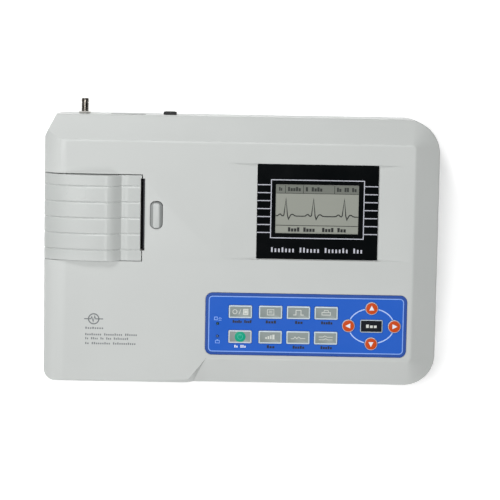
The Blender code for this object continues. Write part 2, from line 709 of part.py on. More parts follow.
def build_door():
    door = make("paper_door", add_door_shell, (0.6, 0.62, 0.61), at=HINGE)

    def barrel(bm):
        add_lathe(bm, disc(BARREL_R, -DOOR_HALF + 0.1 * MM, DOOR_HALF - 0.1 * MM), 20, "Y")

    def lugs(bm):
        for low, high in ((-2.1, -0.1), (56.5, 58.5)):
            corner = Vector((-88.6 * MM, low * MM, -12.4 * MM)) - HINGE
            other = Vector((-80.9 * MM, high * MM, -1.2 * MM)) - HINGE
            add_box(bm, corner, other)

    def bore(bm):
        add_lathe(bm, disc(PIN_R + RUN_GAP, -0.04, 0.04), 16, "Y")
        spot = PLATEN - HINGE
        add_lathe(bm, disc(PIN_R + RUN_GAP, -0.035, 0.035), 16, "Y", spot)

    def cheeks(bm):
        points = door_profile()
        outline = []
        for index in range(3, len(points) - 5):
            x, n = Vector(points[index]) - outward(points, index) * 1.2 * MM
            outline.append((x - HINGE.x, n - HINGE.z))
        for x, n in ((-99.0, -5.0), (-138.0, -5.0), (-151.0, -23.0)):
            outline.append((x * MM - HINGE.x, n * MM - HINGE.z))
        for side in (-1, 1):
            ends = sorted((side * 32.6 * MM, side * (DOOR_HALF - 0.1 * MM)))
            add_prism(bm, outline, ends[0], ends[1], "Y")

    def notch(bm):
        low = Vector((SLOT_X[0], SLOT_V[0], -4 * MM)) - HINGE
        add_box(bm, low, Vector((-70 * MM, SLOT_V[1], 4 * MM)) - HINGE)

    combine(door, "barrel", barrel, "UNION")
    combine(door, "lugs", lugs, "UNION")
    combine(door, "cheeks", cheeks, "UNION")
    combine(door, "bores", bore)
    combine(door, "notch", notch)
    profile = disc(PIN_R, -38.6 * MM, 38.6 * MM)
    steel = (0.6, 0.6, 0.6)
    make("door_hinge_pin", lambda bm: add_lathe(bm, profile, 16, "Y"), steel, at=HINGE, smooth=True, metallic=1)


def add_gear(bm, teeth, first, low, high, bore):
    """A spur gear about the local Y axis with a tooth centred at the angle first."""
    pitch_r = teeth * MODULE / 2
    pitch = math.tau / teeth
    shape = ((-0.29, -1.15), (-0.125, 0.8), (0.125, 0.8), (0.29, -1.15))
    rings = []
    for height in (low, high):
        tips, hub = [], []
        for tooth in range(teeth):
            middle = first + tooth * pitch
            corners = []
            for part, rise in shape:
                angle = middle + part * pitch
                radius = pitch_r + rise * MODULE
                corners.append(bm.verts.new((radius * math.cos(angle), height, radius * math.sin(angle))))
            tips.append(corners)
            hub.append(bm.verts.new((bore * math.cos(middle), height, bore * math.sin(middle))))
        rings.append((tips, hub))
    for tips, hub in rings:
        for tooth in range(teeth):
            after = (tooth + 1) % teeth
            first_half = tips[tooth] + [tips[after][0], hub[after], hub[tooth]]
            bm.faces.new(first_half)
    (tips_low, hub_low), (tips_high, hub_high) = rings
    for tooth in range(teeth):
        after = (tooth + 1) % teeth
        low_line = tips_low[tooth] + [tips_low[after][0]]
        high_line = tips_high[tooth] + [tips_high[after][0]]
        for index in range(4):
            bm.faces.new((low_line[index], low_line[index + 1], high_line[index + 1], high_line[index]))
        bm.faces.new((hub_low[tooth], hub_low[after], hub_high[after], hub_high[tooth]))


def gear_layout():
    """Centres and first tooth angles of the three gears, in mesh at rest."""
    radius = {name: teeth * MODULE / 2 for name, teeth in TEETH.items()}
    pitch = {name: math.tau / teeth for name, teeth in TEETH.items()}
    swing = Vector((PLATEN.x - HINGE.x, PLATEN.z - HINGE.z)).normalized()
    away = Vector((swing.y, -swing.x))
    reach = radius["platen"] + radius["idler"] + MESH_GAP
    idler = Vector((PLATEN.x, PLATEN.z)) + away * reach
    toward = math.atan2(away.y, away.x)
    idler_first = toward + math.pi + pitch["idler"] / 2
    down = math.radians(238)
    reach = radius["idler"] + radius["motor"] + MESH_GAP
    motor = idler + Vector((math.cos(down), math.sin(down))) * reach
    phase = (down - idler_first) / pitch["idler"]
    motor_first = down + math.pi + (phase - 0.5) * pitch["motor"]
    return {
        "platen": (Vector((PLATEN.x, PLATEN.z)), toward),
        "idler": (idler, idler_first),
        "motor": (motor, motor_first),
    }


def build_drive():
    layout = gear_layout()
    steel = (0.6, 0.6, 0.6)
    white = (0.75, 0.74, 0.7)
    low, high = GEAR_V
    shaft = disc(PIN_R, -35.6 * MM, 32.4 * MM)
    make("platen_shaft", lambda bm: add_lathe(bm, shaft, 16, "Y"), steel, at=PLATEN, smooth=True, metallic=1)
    sleeve = tube(PIN_R + RUN_GAP, PLATEN_R, -PLATEN_LEN / 2, PLATEN_LEN / 2)
    rubber = (0.03, 0.03, 0.03)
    make("platen_roller", lambda bm: add_lathe(bm, sleeve, 24, "Y"), rubber, at=PLATEN, smooth=True)

    def platen_gear(bm):
        add_gear(bm, TEETH["platen"], layout["platen"][1], low - PLATEN.y, high - PLATEN.y, PIN_R + 0.1 * MM)

    make("platen_gear", platen_gear, white, at=PLATEN)
    centre, first = layout["idler"]
    spot = (centre.x, (low + high) / 2, centre.y)
    half = (high - low) / 2
    make("idler_gear", lambda bm: add_gear(bm, TEETH["idler"], first, -half, half, 1.7 * MM), white, at=spot)
    centre, begin = layout["motor"]
    spot = (centre.x, (low + high) / 2, centre.y)

    def solid_pinion(bm):
        add_gear(bm, TEETH["motor"], begin, -half, half, 1.0 * MM)

    pinion = make("motor_pinion", solid_pinion, (0.7, 0.55, 0.25), at=spot, metallic=1)

    def pinion_shaft(bm):
        add_lathe(bm, disc(1.2 * MM, -14 * MM, half + 1 * MM), 12, "Y")

    combine(pinion, "shaft", pinion_shaft, "UNION")

    def motor(bm):
        add_lathe(bm, disc(12 * MM, -31 * MM, -8.4 * MM), 24, "Y")

    body = make("stepper_motor", motor, (0.5, 0.5, 0.52), at=spot, smooth=True, metallic=1)
    combine(body, "bore", lambda bm: add_lathe(bm, disc(1.3 * MM, -16 * MM, 0), 12, "Y"))
    return layout


def build_tray(layout):
    idler = layout["idler"][0]
    motor = layout["motor"][0]
    inside_v = (TRAY_V[0] + TRAY_T, TRAY_V[1] - TRAY_T)
    floor = TRAY_N[0] + TRAY_T

    def outer(bm):
        add_box(bm, (TRAY_X[0], TRAY_V[0], TRAY_N[0]), (TRAY_X[1], TRAY_V[1], TRAY_N[1]))

    tray = make("paper_tray", outer, (0.5, 0.52, 0.52))

    def pockets(bm):
        add_box(bm, (TRAY_X[0] + TRAY_T, inside_v[0], floor), (-96 * MM, inside_v[1], 0.01))
        add_box(bm, (-94 * MM, inside_v[0], floor), (TRAY_X[1] - TRAY_T, inside_v[1], 0.01))

    def low_walls(bm):
        add_box(bm, (-0.2, inside_v[0] - 0.5 * MM, -26 * MM), (-140 * MM, inside_v[1] + 0.5 * MM, 0.02))
        add_box(bm, (-100 * MM, inside_v[0], -24 * MM), (-90 * MM, inside_v[1], 0.02))
        add_box(bm, (-0.07, inside_v[0], -38 * MM), (-0.05, inside_v[1], 0.02))

    def notches(bm):
        r = 3.2 * MM
        low, high = TRAY_V[0] - 1 * MM, TRAY_V[1] + 1 * MM
        arch = [(ROLL.x + r, 0.01), (ROLL.x + r, ROLL.z)]
        for step in range(1, 8):
            angle = -math.pi * step / 8
            arch.append((ROLL.x + r * math.cos(angle), ROLL.z + r * math.sin(angle)))
        arch += [(ROLL.x - r, ROLL.z), (ROLL.x - r, 0.01)]
        add_prism(bm, arch, low, high, "Y")
        hole = disc(2.2 * MM, -14 * MM, -8 * MM)
        add_lathe(bm, hole, 16, "Y", (motor.x, 0, motor.y))

    def idler_post(bm):
        post = disc(1.64 * MM, TRAY_V[0] + 0.6 * MM, GEAR_V[1] + 0.5 * MM)
        add_lathe(bm, post, 16, "Y", (idler.x, 0, idler.y))

    def shoulder(bm):
        outline = [(-136 * MM, -3 * MM), (-152 * MM, -13.5 * MM), (-152 * MM, 5 * MM), (-136 * MM, 5 * MM)]
        add_prism(bm, outline, -0.1, 0.1, "Y")

    combine(tray, "pockets", pockets)
    combine(tray, "shoulder", shoulder, at=(0, 0, 0))
    combine(tray, "low_walls", low_walls)
    combine(tray, "notches", notches)
    combine(tray, "idler_post", idler_post, "UNION")


def build_paper():
    half = ROLL_LEN / 2
    roll = tube(SPINDLE_R + RUN_GAP, ROLL_R, -half, half)
    paper = (0.8, 0.8, 0.76)
    make("paper_roll", lambda bm: add_lathe(bm, roll, 32, "Y"), paper, at=ROLL, smooth=True)
    near, far = TRAY_V[0] + 0.2 * MM - ROLL.y, TRAY_V[1] - 0.2 * MM - ROLL.y
    spindle = [
        (3 * MM, near),
        (3 * MM, near + 2.6 * MM),
        (SPINDLE_R, near + 2.6 * MM),
        (SPINDLE_R, far - 2.6 * MM),
        (3 * MM, far - 2.6 * MM),
        (3 * MM, far),
    ]
    grey = (0.3, 0.3, 0.32)
    make("roll_spindle", lambda bm: add_lathe(bm, spindle, 20, "Y"), grey, at=ROLL, smooth=True)


def build_head():
    pivot = Vector((-76.0 * MM, 28.2 * MM, -29.0 * MM))
    half = 28.0 * MM

    def head(bm):
        outline = [(-3.2, 0.0), (-3.2, 22.4), (-2.4, 23.2), (-1.2, 23.2), (-1.2, 17.5), (1.8, 17.5)]
        outline += [(1.8, -2.0), (-1.2, -2.0)]
        add_prism(bm, [(x * MM, n * MM) for x, n in outline], -half, half, "Y")

    make("print_head", head, (0.55, 0.55, 0.57), at=pivot, metallic=0.8)


def build_latch():
    def frame(bm):
        low = Vector((-73.2 * MM, -9.7 * MM, -36.2 * MM)) - LATCH
        add_box(bm, low, Vector((-70.0 * MM, 60.7 * MM, -32.8 * MM)) - LATCH)

    latch = make("door_latch", frame, (0.08, 0.08, 0.09), at=LATCH)

    def hooks(bm):
        outline = [(-73.0, -34.6), (-70.2, -34.6), (-70.2, -5.2), (-86.4, -5.2), (-86.4, -6.9), (-73.0, -6.9)]
        points = [(x * MM - LATCH.x, n * MM - LATCH.z) for x, n in outline]
        for low, high in ((-9.5, -7.7), (58.9, 60.5)):
            add_prism(bm, points, low * MM - LATCH.y, high * MM - LATCH.y, "Y")

    def tab(bm):
        low = Vector((-71.0 * MM, 23.4 * MM, -34.4 * MM)) - LATCH
        add_box(bm, low, Vector((-58.0 * MM, 32.4 * MM, -33.0 * MM)) - LATCH)

    combine(latch, "hooks", hooks, "UNION")
    combine(latch, "tab", tab, "UNION")


def build_button():
    x = centred(0, BUTTON_SIZE[0])
    v = centred(0, BUTTON_SIZE[1])
    stem_x = 5.8 * MM

    def cap(bm):
        add_prism(bm, rounded(x, v, BUTTON_SIZE[0] / 2 - 0.01 * MM, 8), -6 * MM, 1.6 * MM)

    button = make("release_button", cap, (0.6, 0.62, 0.62), at=BUTTON)

    def flange(bm):
        outline = rounded((x[0] - 1.6 * MM, 6.6 * MM + 1.8 * MM), (v[0] - 1.6 * MM, v[1] + 1.6 * MM), 4 * MM, 4)
        add_prism(bm, outline, -7.6 * MM, -4.4 * MM)

    def stem(bm):
        add_box(bm, (stem_x - 2.4 * MM, -2.4 * MM, -32.2 * MM), (stem_x + 2.4 * MM, 2.4 * MM, -7 * MM))

    combine(button, "flange", flange, "UNION")
    combine(button, "stem", stem, "UNION")


# Boards, sockets and rear panel


def build_electronics():
    green = (0.02, 0.2, 0.08)

    def main_board(bm):
        add_box(bm, (-34 * MM, -76 * MM, 32 * MM), (126 * MM, 72 * MM, 33.6 * MM))

    make("main_board", main_board, green, CASE)

    def power_board(bm):
        add_box(bm, (-133 * MM, 72 * MM, 12.3 * MM), (-43 * MM, 99 * MM, 13.9 * MM))

    board = make("power_board", power_board, green, CASE)

    def transformer(bm):
        add_box(bm, (-131 * MM, 74 * MM, 13 * MM), (-105 * MM, 96 * MM, 31 * MM))
        add_box(bm, (-98 * MM, 75 * MM, 13 * MM), (-70 * MM, 95 * MM, 27 * MM))

    combine(board, "transformer", transformer, "UNION")


def build_rear():
    brass = (0.75, 0.72, 0.62)
    inside = 103.5 * MM
    stud = [
        (3 * MM, inside - 6 * MM),
        (3 * MM, HALF_D + 7.4 * MM),
        (2.3 * MM, HALF_D + 7.7 * MM),
        (2.3 * MM, HALF_D + 8.8 * MM),
        (3 * MM, HALF_D + 9.1 * MM),
        (3 * MM, HALF_D + STUD_OUT - 0.8 * MM),
        (2.2 * MM, HALF_D + STUD_OUT),
    ]
    spot = (STUD_X, 0, REAR_Z)
    make("equipotential_stud", lambda bm: add_lathe(bm, stud, 20, "Y"), brass, CASE, spot, True, 0.3, 1)
    hexagon = disc(5.5 * MM, HALF_D + 0.2 * MM, HALF_D + 2.8 * MM)
    nut = make("stud_nut", lambda bm: add_lathe(bm, hexagon, 6, "Y"), brass, CASE, spot, False, 0.3, 1)
    combine(nut, "bore", lambda bm: add_lathe(bm, disc(3.1 * MM, 0.1, 0.12), 20, "Y"))

    def inlet(bm):
        low = (-13.7 * MM, 84 * MM, -10 * MM)
        add_box(bm, low, (13.7 * MM, HALF_D - 0.2 * MM, 10 * MM))

    body = make("mains_inlet", inlet, (0.03, 0.03, 0.03), CASE, (INLET_X, 0, REAR_Z))

    def flange(bm):
        add_box(bm, (-16.5 * MM, 102.4 * MM, -12.5 * MM), (16.5 * MM, 104.7 * MM, 12.5 * MM))

    def socket(bm):
        outline = [(-12, -8), (12, -8), (12, 3), (7.5, 8), (-7.5, 8), (-12, 3)]
        add_prism(bm, [(x * MM, z * MM) for x, z in outline], 91 * MM, 0.12, "Y")

    def pins(bm):
        for x, z in ((-7, -1.5), (0, 2.5), (7, -1.5)):
            low = ((x - 1) * MM, 90 * MM, (z - 2) * MM)
            add_box(bm, low, ((x + 1) * MM, 101.5 * MM, (z + 2) * MM))

    combine(body, "flange", flange, "UNION")
    combine(body, "socket", socket)
    combine(body, "pins", pins, "UNION")

    def housing(bm):
        low = (-4.7 * MM, 92 * MM, -7.7 * MM)
        add_box(bm, low, (4.7 * MM, HALF_D + 0.6 * MM, 7.7 * MM))

    switch = make("switch_housing", housing, (0.03, 0.03, 0.03), CASE, (SWITCH_X, 0, REAR_Z))

    def bezel(bm):
        low = (-5.15 * MM, HALF_D + 0.2 * MM, -8.4 * MM)
        add_box(bm, low, (5.15 * MM, HALF_D + 1.3 * MM, 8.4 * MM))

    def cavity(bm):
        add_box(bm, (-3.9 * MM, 98 * MM, -7.1 * MM), (3.9 * MM, 0.12, 7.1 * MM))

    combine(switch, "bezel", bezel, "UNION")
    combine(switch, "cavity", cavity)

    def rocker(bm):
        outline = [(-4.0, -6.4), (0.9, -6.2), (0.1, 0), (2.9, 6.0), (-2.0, 6.4), (-5.0, 0)]
        add_prism(bm, [(y * MM, z * MM) for y, z in outline], -3.6 * MM, 3.6 * MM, "X")

    spot = (SWITCH_X, HALF_D, REAR_Z)
    make("mains_rocker", rocker, (0.02, 0.02, 0.02), CASE, spot)

    def patient(bm):
        add_box(bm, (150.4 * MM, 0.4 * MM, 33.6 * MM), (154.7 * MM, 39.6 * MM, 46.4 * MM))

    socket_body = make("patient_socket", patient, (0.5, 0.5, 0.5), CASE)

    def shell(bm):
        outline = [(7.6, 44.1), (32.4, 44.1), (30.6, 35.9), (9.4, 35.9)]
        add_prism(bm, [(y * MM, z * MM) for y, z in outline], 146 * MM, 157.3 * MM, "X")

    combine(socket_body, "shell", shell, "UNION")

    def usb(bm):
        add_box(bm, (140 * MM, -36.4 * MM, 36.8 * MM), (157.3 * MM, -23.6 * MM, 43.2 * MM))

    usb_body = make("usb_socket", usb, (0.6, 0.6, 0.6), CASE, metallic=1)

    def usb_mouth(bm):
        add_box(bm, (146 * MM, -35.8 * MM, 37.4 * MM), (0.16, -24.2 * MM, 42.6 * MM))

    def usb_tongue(bm):
        add_box(bm, (145 * MM, -35.2 * MM, 40.6 * MM), (156 * MM, -24.8 * MM, 42.0 * MM))

    combine(usb_body, "mouth", usb_mouth)
    combine(usb_body, "tongue", usb_tongue, "UNION")


build_upper_case()
build_lower_case()
build_base_parts()
build_display()
build_keypad()
build_door()
build_tray(build_drive())
build_paper()
build_head()
build_latch()
build_button()
build_electronics()
build_rear()
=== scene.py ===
"""The look of a portable single-channel ECG machine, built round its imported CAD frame.

Shapes are in millimetres until new_mesh turns them into metres. Bump depths, texture scales and lights are
in metres. The panel frame follows the sloping top: x to the right, v up the slope to the rear, n along the
panel's normal. The case frame is square to the base.
"""

import math  # noqa: E402

import bmesh  # noqa: E402
import bpy  # noqa: E402
from mathutils import Matrix, Vector  # noqa: E402


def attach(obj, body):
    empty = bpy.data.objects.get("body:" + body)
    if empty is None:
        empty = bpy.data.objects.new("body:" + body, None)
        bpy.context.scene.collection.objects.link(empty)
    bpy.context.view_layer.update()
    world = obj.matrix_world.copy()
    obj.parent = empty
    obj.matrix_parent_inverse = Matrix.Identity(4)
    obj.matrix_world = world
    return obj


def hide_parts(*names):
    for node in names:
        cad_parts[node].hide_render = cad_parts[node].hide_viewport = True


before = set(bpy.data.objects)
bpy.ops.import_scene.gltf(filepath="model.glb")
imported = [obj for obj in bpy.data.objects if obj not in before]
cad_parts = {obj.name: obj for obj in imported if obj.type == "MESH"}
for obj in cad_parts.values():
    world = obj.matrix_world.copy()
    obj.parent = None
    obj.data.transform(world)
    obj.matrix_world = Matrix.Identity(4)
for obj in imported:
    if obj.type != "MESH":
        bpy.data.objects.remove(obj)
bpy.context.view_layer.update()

MM = 0.001

# The same design values as the CAD, in millimetres
HALF_W = 157.5
HALF_D = 107.5
WALL = 2.5
FOOT_H = 3.0
SPLIT_Z = 26.0
PANEL_Z = 65.3
WEDGE = math.radians(6.0)
STUD_OUT = 12.3
BAND_SLOPE = math.radians(25.0)
REAR_CREASE = 87.3
RIGHT_CREASE = 137.8
FRONT_CREASE = -87.6
CREASE_R = 3.0
SOFT_R = 6.0
EDGE_R = 2.2
REAR_R = 28.0
FRONT_R = 25.0
LEFT_R = 9.5
LEFT_RUN = 19.2
LEFT_DROP = 8.0
WINDOW_X = (12.2, 108.8)
WINDOW_V = (-5.7, 70.7)
WINDOW_DROP = 1.6
PAD_X = (-27.5, 133.8)
PAD_V = (-84.4, -33.9)
PAD_R = 5.6
PAD_TOP = 0.4
KEY_TOP = 1.1
KEY_FOOT = -3.4
KEY_SIZE = (18.6, 10.3)
KEY_COLUMNS = (0.5, 24.7, 47.0, 69.2)
KEY_ROWS = (-49.0, -69.4)
OK_SIZE = (17.8, 10.2)
CURSOR = (105.6, -59.0)
CURSOR_REACH = (18.4, 14.4)
CURSOR_R = 5.1
LAMP_X = -17.6
LAMP_V = (-59.0, -69.2)
DOOR_V = 25.3
DOOR_HALF = 34.6
DOOR_RIGHT = -79.6
DOOR_T = 2.4
HINGE = Vector((-154.0, 25.3, -30.5))
BARREL_R = 3.4
PIN_HOLE = 1.56
PLATEN = Vector((-84.6, 28.2, -9.0))
HEAD_PIVOT = Vector((-76.0, 28.2, -29.0))
ROLL = Vector((-122.0, 28.2, -21.0))
SLOT_X = (-80.5, -77.0)
SLOT_V = (-0.9, 57.4)
BUTTON = Vector((-67.8, 27.9, 0.0))
BUTTON_SIZE = (9.6, 21.2)
REAR_Z = 46.0
STUD_X = -126.9
INLET_X = -92.0
SWITCH_X = -58.5
FOOT_SPOTS = ((-138, -66), (138, -66), (-138, 66), (138, 66))
SCREW_SPOTS = ((-140, -85), (135, -85), (-140, 84), (133, 80))

# How far printed shapes stand above a surface, and how far they reach into it
PRINT = 0.04
SINK = 0.02

SLOPE = Matrix.Translation((0, 0, PANEL_Z)) @ Matrix.Rotation(WEDGE, 4, "X")
TO_CASE = Matrix.Translation((0, -STUD_OUT / 2, 0))
TO_PANEL = TO_CASE @ SLOPE


# Materials


class Nodes:
    """A material being made, with short ways to add, fill and link its shader nodes."""

    def __init__(self, name):
        self.material = bpy.data.materials.new(name)
        self.material.use_nodes = True
        self.tree = self.material.node_tree
        self.shader = self.tree.nodes["Principled BSDF"]
        self.coords = self.add("ShaderNodeTexCoord").outputs["Object"]

    def put(self, socket, value):
        """Links a socket to an output, or sets it to a number, a vector or a colour of three values."""
        if isinstance(value, bpy.types.NodeSocket):
            self.tree.links.new(value, socket)
        else:
            socket.default_value = (*value, 1.0) if socket.type == "RGBA" else value

    def add(self, kind, **settings):
        """A node with its sockets, or else its properties, filled in. A _ stands for a space in a name."""
        node = self.tree.nodes.new(kind)
        for key, value in settings.items():
            socket = key.replace("_", " ")
            if socket in node.inputs:
                self.put(node.inputs[socket], value)
            else:
                setattr(node, key, value)
        return node

    def paint(self, **settings):
        for key, value in settings.items():
            self.put(self.shader.inputs[key.replace("_", " ")], value)
        return self.material

    def noise(self, scale, detail=3.0, coords=None):
        node = self.add("ShaderNodeTexNoise", Scale=scale, Detail=detail, Vector=coords or self.coords)
        return node.outputs["Fac"]

    def stretch(self, factors):
        return self.add("ShaderNodeMapping", Scale=factors, Vector=self.coords).outputs["Vector"]

    def ramp(self, source, low, high, start=0.0, end=1.0):
        limits = {"From_Min": start, "From_Max": end, "To_Min": low, "To_Max": high}
        return self.add("ShaderNodeMapRange", Value=source, **limits).outputs["Result"]

    def mix(self, factor, first, second, blend="MIX"):
        node = self.add("ShaderNodeMix", data_type="RGBA", blend_type=blend)
        for index, value in ((0, factor), (6, first), (7, second)):
            self.put(node.inputs[index], value)
        return node.outputs[2]

    def vary(self, factor, colour, low, high):
        return self.mix(factor, shade(colour, low), shade(colour, high))

    def bump(self, height, distance, strength):
        node = self.add("ShaderNodeBump", Distance=distance, Strength=strength, Height=height)
        normal = self.shader.inputs["Normal"]
        if normal.is_linked:
            self.put(node.inputs["Normal"], normal.links[0].from_socket)
        self.put(normal, node.outputs["Normal"])


def srgb(red, green, blue):
    """Linear values of an sRGB colour given from 0 to 255."""
    linear = []
    for value in (red / 255, green / 255, blue / 255):
        linear.append(value / 12.92 if value <= 0.04045 else ((value + 0.055) / 1.055) ** 2.4)
    return tuple(linear)


def shade(colour, factor):
    return tuple(min(1.0, value * factor) for value in colour)


def moulded(name, colour, rough=0.42, grain=2600, depth=4e-5, mottle=0.03, wear_and_highlight=0.05, coat=0, specular=0.5):
    """Moulded plastic: a fine spark-eroded grain, faint mottling, and convex edges lightened by pointiness,
    which stands for handling wear and also paints a highlight on them.
    """
    nodes = Nodes(name)
    base = nodes.vary(nodes.noise(14, 4), colour, 1 - mottle, 1 + mottle)
    # Convex edges are lightened: partly handling wear, partly a painted highlight along the edges.
    edge = nodes.ramp(nodes.add("ShaderNodeNewGeometry").outputs["Pointiness"], 0, 1, 0.52, 0.62)
    worn_and_lit_edges = nodes.mix(edge, (0, 0, 0), (wear_and_highlight, wear_and_highlight, wear_and_highlight))
    nodes.bump(nodes.noise(grain, 2), depth, 0.6)
    nodes.bump(nodes.noise(grain / 6), depth * 2, 0.25)
    if coat:
        nodes.paint(Coat_Weight=coat, Coat_Roughness=0.12)
    return nodes.paint(
        Base_Color=nodes.mix(1, base, worn_and_lit_edges, "ADD"),
        Roughness=nodes.ramp(nodes.noise(38, 5), rough - 0.05, rough + 0.07, 0.3, 0.7),
        Specular_IOR_Level=specular,
    )


def film(name, red, green, blue, rough, **settings):
    """Smooth coloured plastic with no edge lightening, neither worn nor painted highlight, in an sRGB colour.
    """
    return moulded(name, srgb(red, green, blue), rough, wear_and_highlight=0, **settings)


def metal(name, colour, rough=0.3):
    """Drawn or turned metal: brushing along one direction, small stains and roughness changes."""
    nodes = Nodes(name)
    streaks = nodes.noise(1, 4, nodes.stretch((60, 900, 900)))
    nodes.bump(streaks, 2e-5, 0.5)
    return nodes.paint(
        Metallic=1,
        Base_Color=nodes.vary(nodes.noise(60, 4), colour, 0.86, 1.06),
        Roughness=nodes.ramp(streaks, rough - 0.08, rough + 0.14, 0.3, 0.7),
    )


def rubber(name, colour):
    nodes = Nodes(name)
    dust = nodes.ramp(nodes.noise(220, 6), 0, 0.5, 0.45, 0.8)
    nodes.bump(nodes.noise(1800, 2), 6e-5, 0.7)
    return nodes.paint(
        Base_Color=nodes.vary(dust, colour, 1, 2.4),
        Roughness=nodes.ramp(nodes.noise(90), 0.62, 0.85, 0.3, 0.7),
    )


def circuit(name, colour):
    """A solder mask over copper tracks, with tinned pads."""
    nodes = Nodes(name)
    colours = {"Color1": shade(colour, 0.85), "Color2": shade(colour, 1.25), "Mortar": shade(colour, 2.4)}
    tracks = nodes.add("ShaderNodeTexBrick", Scale=170, Mortar_Size=0.012, Vector=nodes.coords, **colours)
    pads = nodes.add("ShaderNodeTexVoronoi", Scale=260, Vector=nodes.coords)
    tin = nodes.ramp(pads.outputs["Distance"], 1, 0, 0.14, 0.17)
    nodes.bump(tracks.outputs["Fac"], 4e-5, 0.4)
    return nodes.paint(
        Base_Color=nodes.mix(tin, tracks.outputs["Color"], (0.55, 0.56, 0.57)),
        Roughness=nodes.ramp(tin, 0.36, 0.22),
    )


def printed(name, red, green, blue, rough=0.5):
    """Screen-printed ink with slightly uneven cover, in an sRGB colour."""
    nodes = Nodes(name)
    patchy = nodes.noise(900)
    nodes.bump(patchy, 1e-5, 0.3)
    return nodes.paint(
        Base_Color=nodes.vary(patchy, srgb(red, green, blue), 0.93, 1.05),
        Roughness=nodes.ramp(patchy, rough - 0.05, rough + 0.08),
    )


def screen(name, red, green, blue):
    """The face of a liquid crystal display: fine rows of dots under a glossy sheet."""
    nodes = Nodes(name)
    colour = srgb(red, green, blue)
    rows, columns = (
        nodes.add("ShaderNodeTexWave", Scale=900, bands_direction=axis, Vector=nodes.coords).outputs["Fac"]
        for axis in "YX"
    )
    dots = nodes.vary(rows, colour, 0.97, 1.02)
    cloud = nodes.vary(nodes.noise(30), colour, 0.93, 1.05)
    return nodes.paint(
        Base_Color=nodes.mix(columns, dots, cloud),
        Roughness=nodes.ramp(nodes.noise(50), 0.32, 0.42),
        Coat_Weight=0.1,
        Coat_Roughness=0.25,
    )


def lens(name, red, green, blue):
    """A tinted indicator lens over a dark cavity, with moulded flutes."""
    nodes = Nodes(name)
    depth = nodes.noise(700, 2)
    nodes.bump(nodes.noise(1500, 1), 3e-5, 0.3)
    return nodes.paint(
        Base_Color=nodes.vary(depth, srgb(red, green, blue), 0.6, 1.5),
        Roughness=nodes.ramp(depth, 0.08, 0.2),
        Coat_Weight=0.6,
    )


def paper(name, colour):
    """Thermal chart paper with fine fibres."""
    nodes = Nodes(name)
    fibres = nodes.noise(1, 4, nodes.stretch((500, 60, 500)))
    nodes.bump(nodes.noise(2400), 2e-5, 0.4)
    nodes.bump(fibres, 2e-5, 0.3)
    return nodes.paint(
        Base_Color=nodes.vary(fibres, colour, 0.94, 1.04), Roughness=nodes.ramp(nodes.noise(150), 0.55, 0.72)
    )


SHELL = moulded("case_shell_grey", (0.534, 0.552, 0.54), 0.37, specular=0.38)
BASE_SHELL = moulded("case_base_grey", (0.5, 0.518, 0.508), 0.5)
# The door's edge lightening is doubled, which paints highlights along its ridge and creases.
DOOR = moulded("door_grey", (0.496, 0.516, 0.504), 0.31, wear_and_highlight=0.1)
BUTTON_TOP = moulded("button_grey", (0.5, 0.52, 0.51), 0.34)
# A darker copy of the button grey, painted on the button's sloping sides as shade.
BUTTON_SHADED_SIDE = moulded("button_side_painted_shade", (0.3, 0.315, 0.31), 0.34)
BLUE = film("overlay_blue", 36, 93, 192, 0.33, grain=3200, depth=2e-5, mottle=0.05, specular=0.2)
BLUE_RIM = film("overlay_rim_blue", 48, 82, 160, 0.3, grain=3200, depth=2e-5, specular=0.25)
KEY_FACE = film("key_grey_green", 137, 146, 144, 0.4, mottle=0.05, specular=0.35)
# Pale key border: the light border of the grey keys, and a painted highlight on the rounded edges of the orange
# cursor keys.
KEY_BORDER_AND_HIGHLIGHT = film("key_border_and_painted_highlight", 196, 210, 218, 0.35)
POWER_EDGE = film("power_key_border", 200, 206, 214, 0.35)
ORANGE = film("key_orange", 196, 72, 20, 0.3, coat=0.06, specular=0.25)
BLACK_KEY = film("key_black", 14, 19, 26, 0.34, specular=0.2)
GREEN = film("power_green", 14, 156, 124, 0.3, coat=0.06, specular=0.25)
GREEN_RING = film("power_green_ring", 74, 180, 160, 0.3, specular=0.3)
GLOSS = (0.0022, 0.003, 0.0034)
GLOSS_BLACK = moulded("window_black", GLOSS, 0.16, grain=400, depth=4e-6, mottle=0.1, wear_and_highlight=0, specular=0.1)
BLACK = moulded("black_moulding", (0.008, 0.008, 0.009), 0.42, mottle=0.1, wear_and_highlight=0.015, specular=0.22)
SWITCH = moulded("switch_black", (0.006, 0.006, 0.007), 0.36, mottle=0.1, wear_and_highlight=0.02, specular=0.1)
DARK = moulded("dark_moulding", (0.075, 0.077, 0.08), 0.45, mottle=0.06)
TRAY = moulded("tray_grey", (0.3, 0.31, 0.315), 0.5, mottle=0.05)
ACETAL = moulded("gear_acetal", (0.66, 0.65, 0.6), 0.38, mottle=0.04)
CARD = moulded("roll_core_card", (0.36, 0.27, 0.17), 0.8, grain=900, depth=8e-5, mottle=0.12)
WRAP = moulded("cell_wrap", (0.03, 0.09, 0.3), 0.25, grain=700, depth=5e-5, mottle=0.1, coat=0.3)
CERAMIC = moulded("head_ceramic", (0.62, 0.6, 0.54), 0.2, grain=1500, depth=1e-5)
INK_WHITE = printed("ink_white", 226, 230, 238)
INK_PALE = printed("ink_pale_grey", 186, 188, 198)
INK_RING = printed("ink_ring", 176, 200, 246)
INK_BLACK = printed("ink_black", 6, 8, 20)
INK_GREY = printed("ink_grey", 118, 122, 124)
INK_LIGHT_BLUE = printed("ink_light_blue", 132, 170, 238)
INK_FAINT = printed("ink_faint_white", 206, 210, 204)
SCREEN = screen("screen_grey_green", 142, 145, 136)
SCREEN_BAR = screen("screen_bar", 104, 108, 100)
SCREEN_INK = printed("screen_ink", 14, 17, 16, 0.3)
SCREEN_FAINT = printed("screen_faint_ink", 34, 38, 34, 0.3)
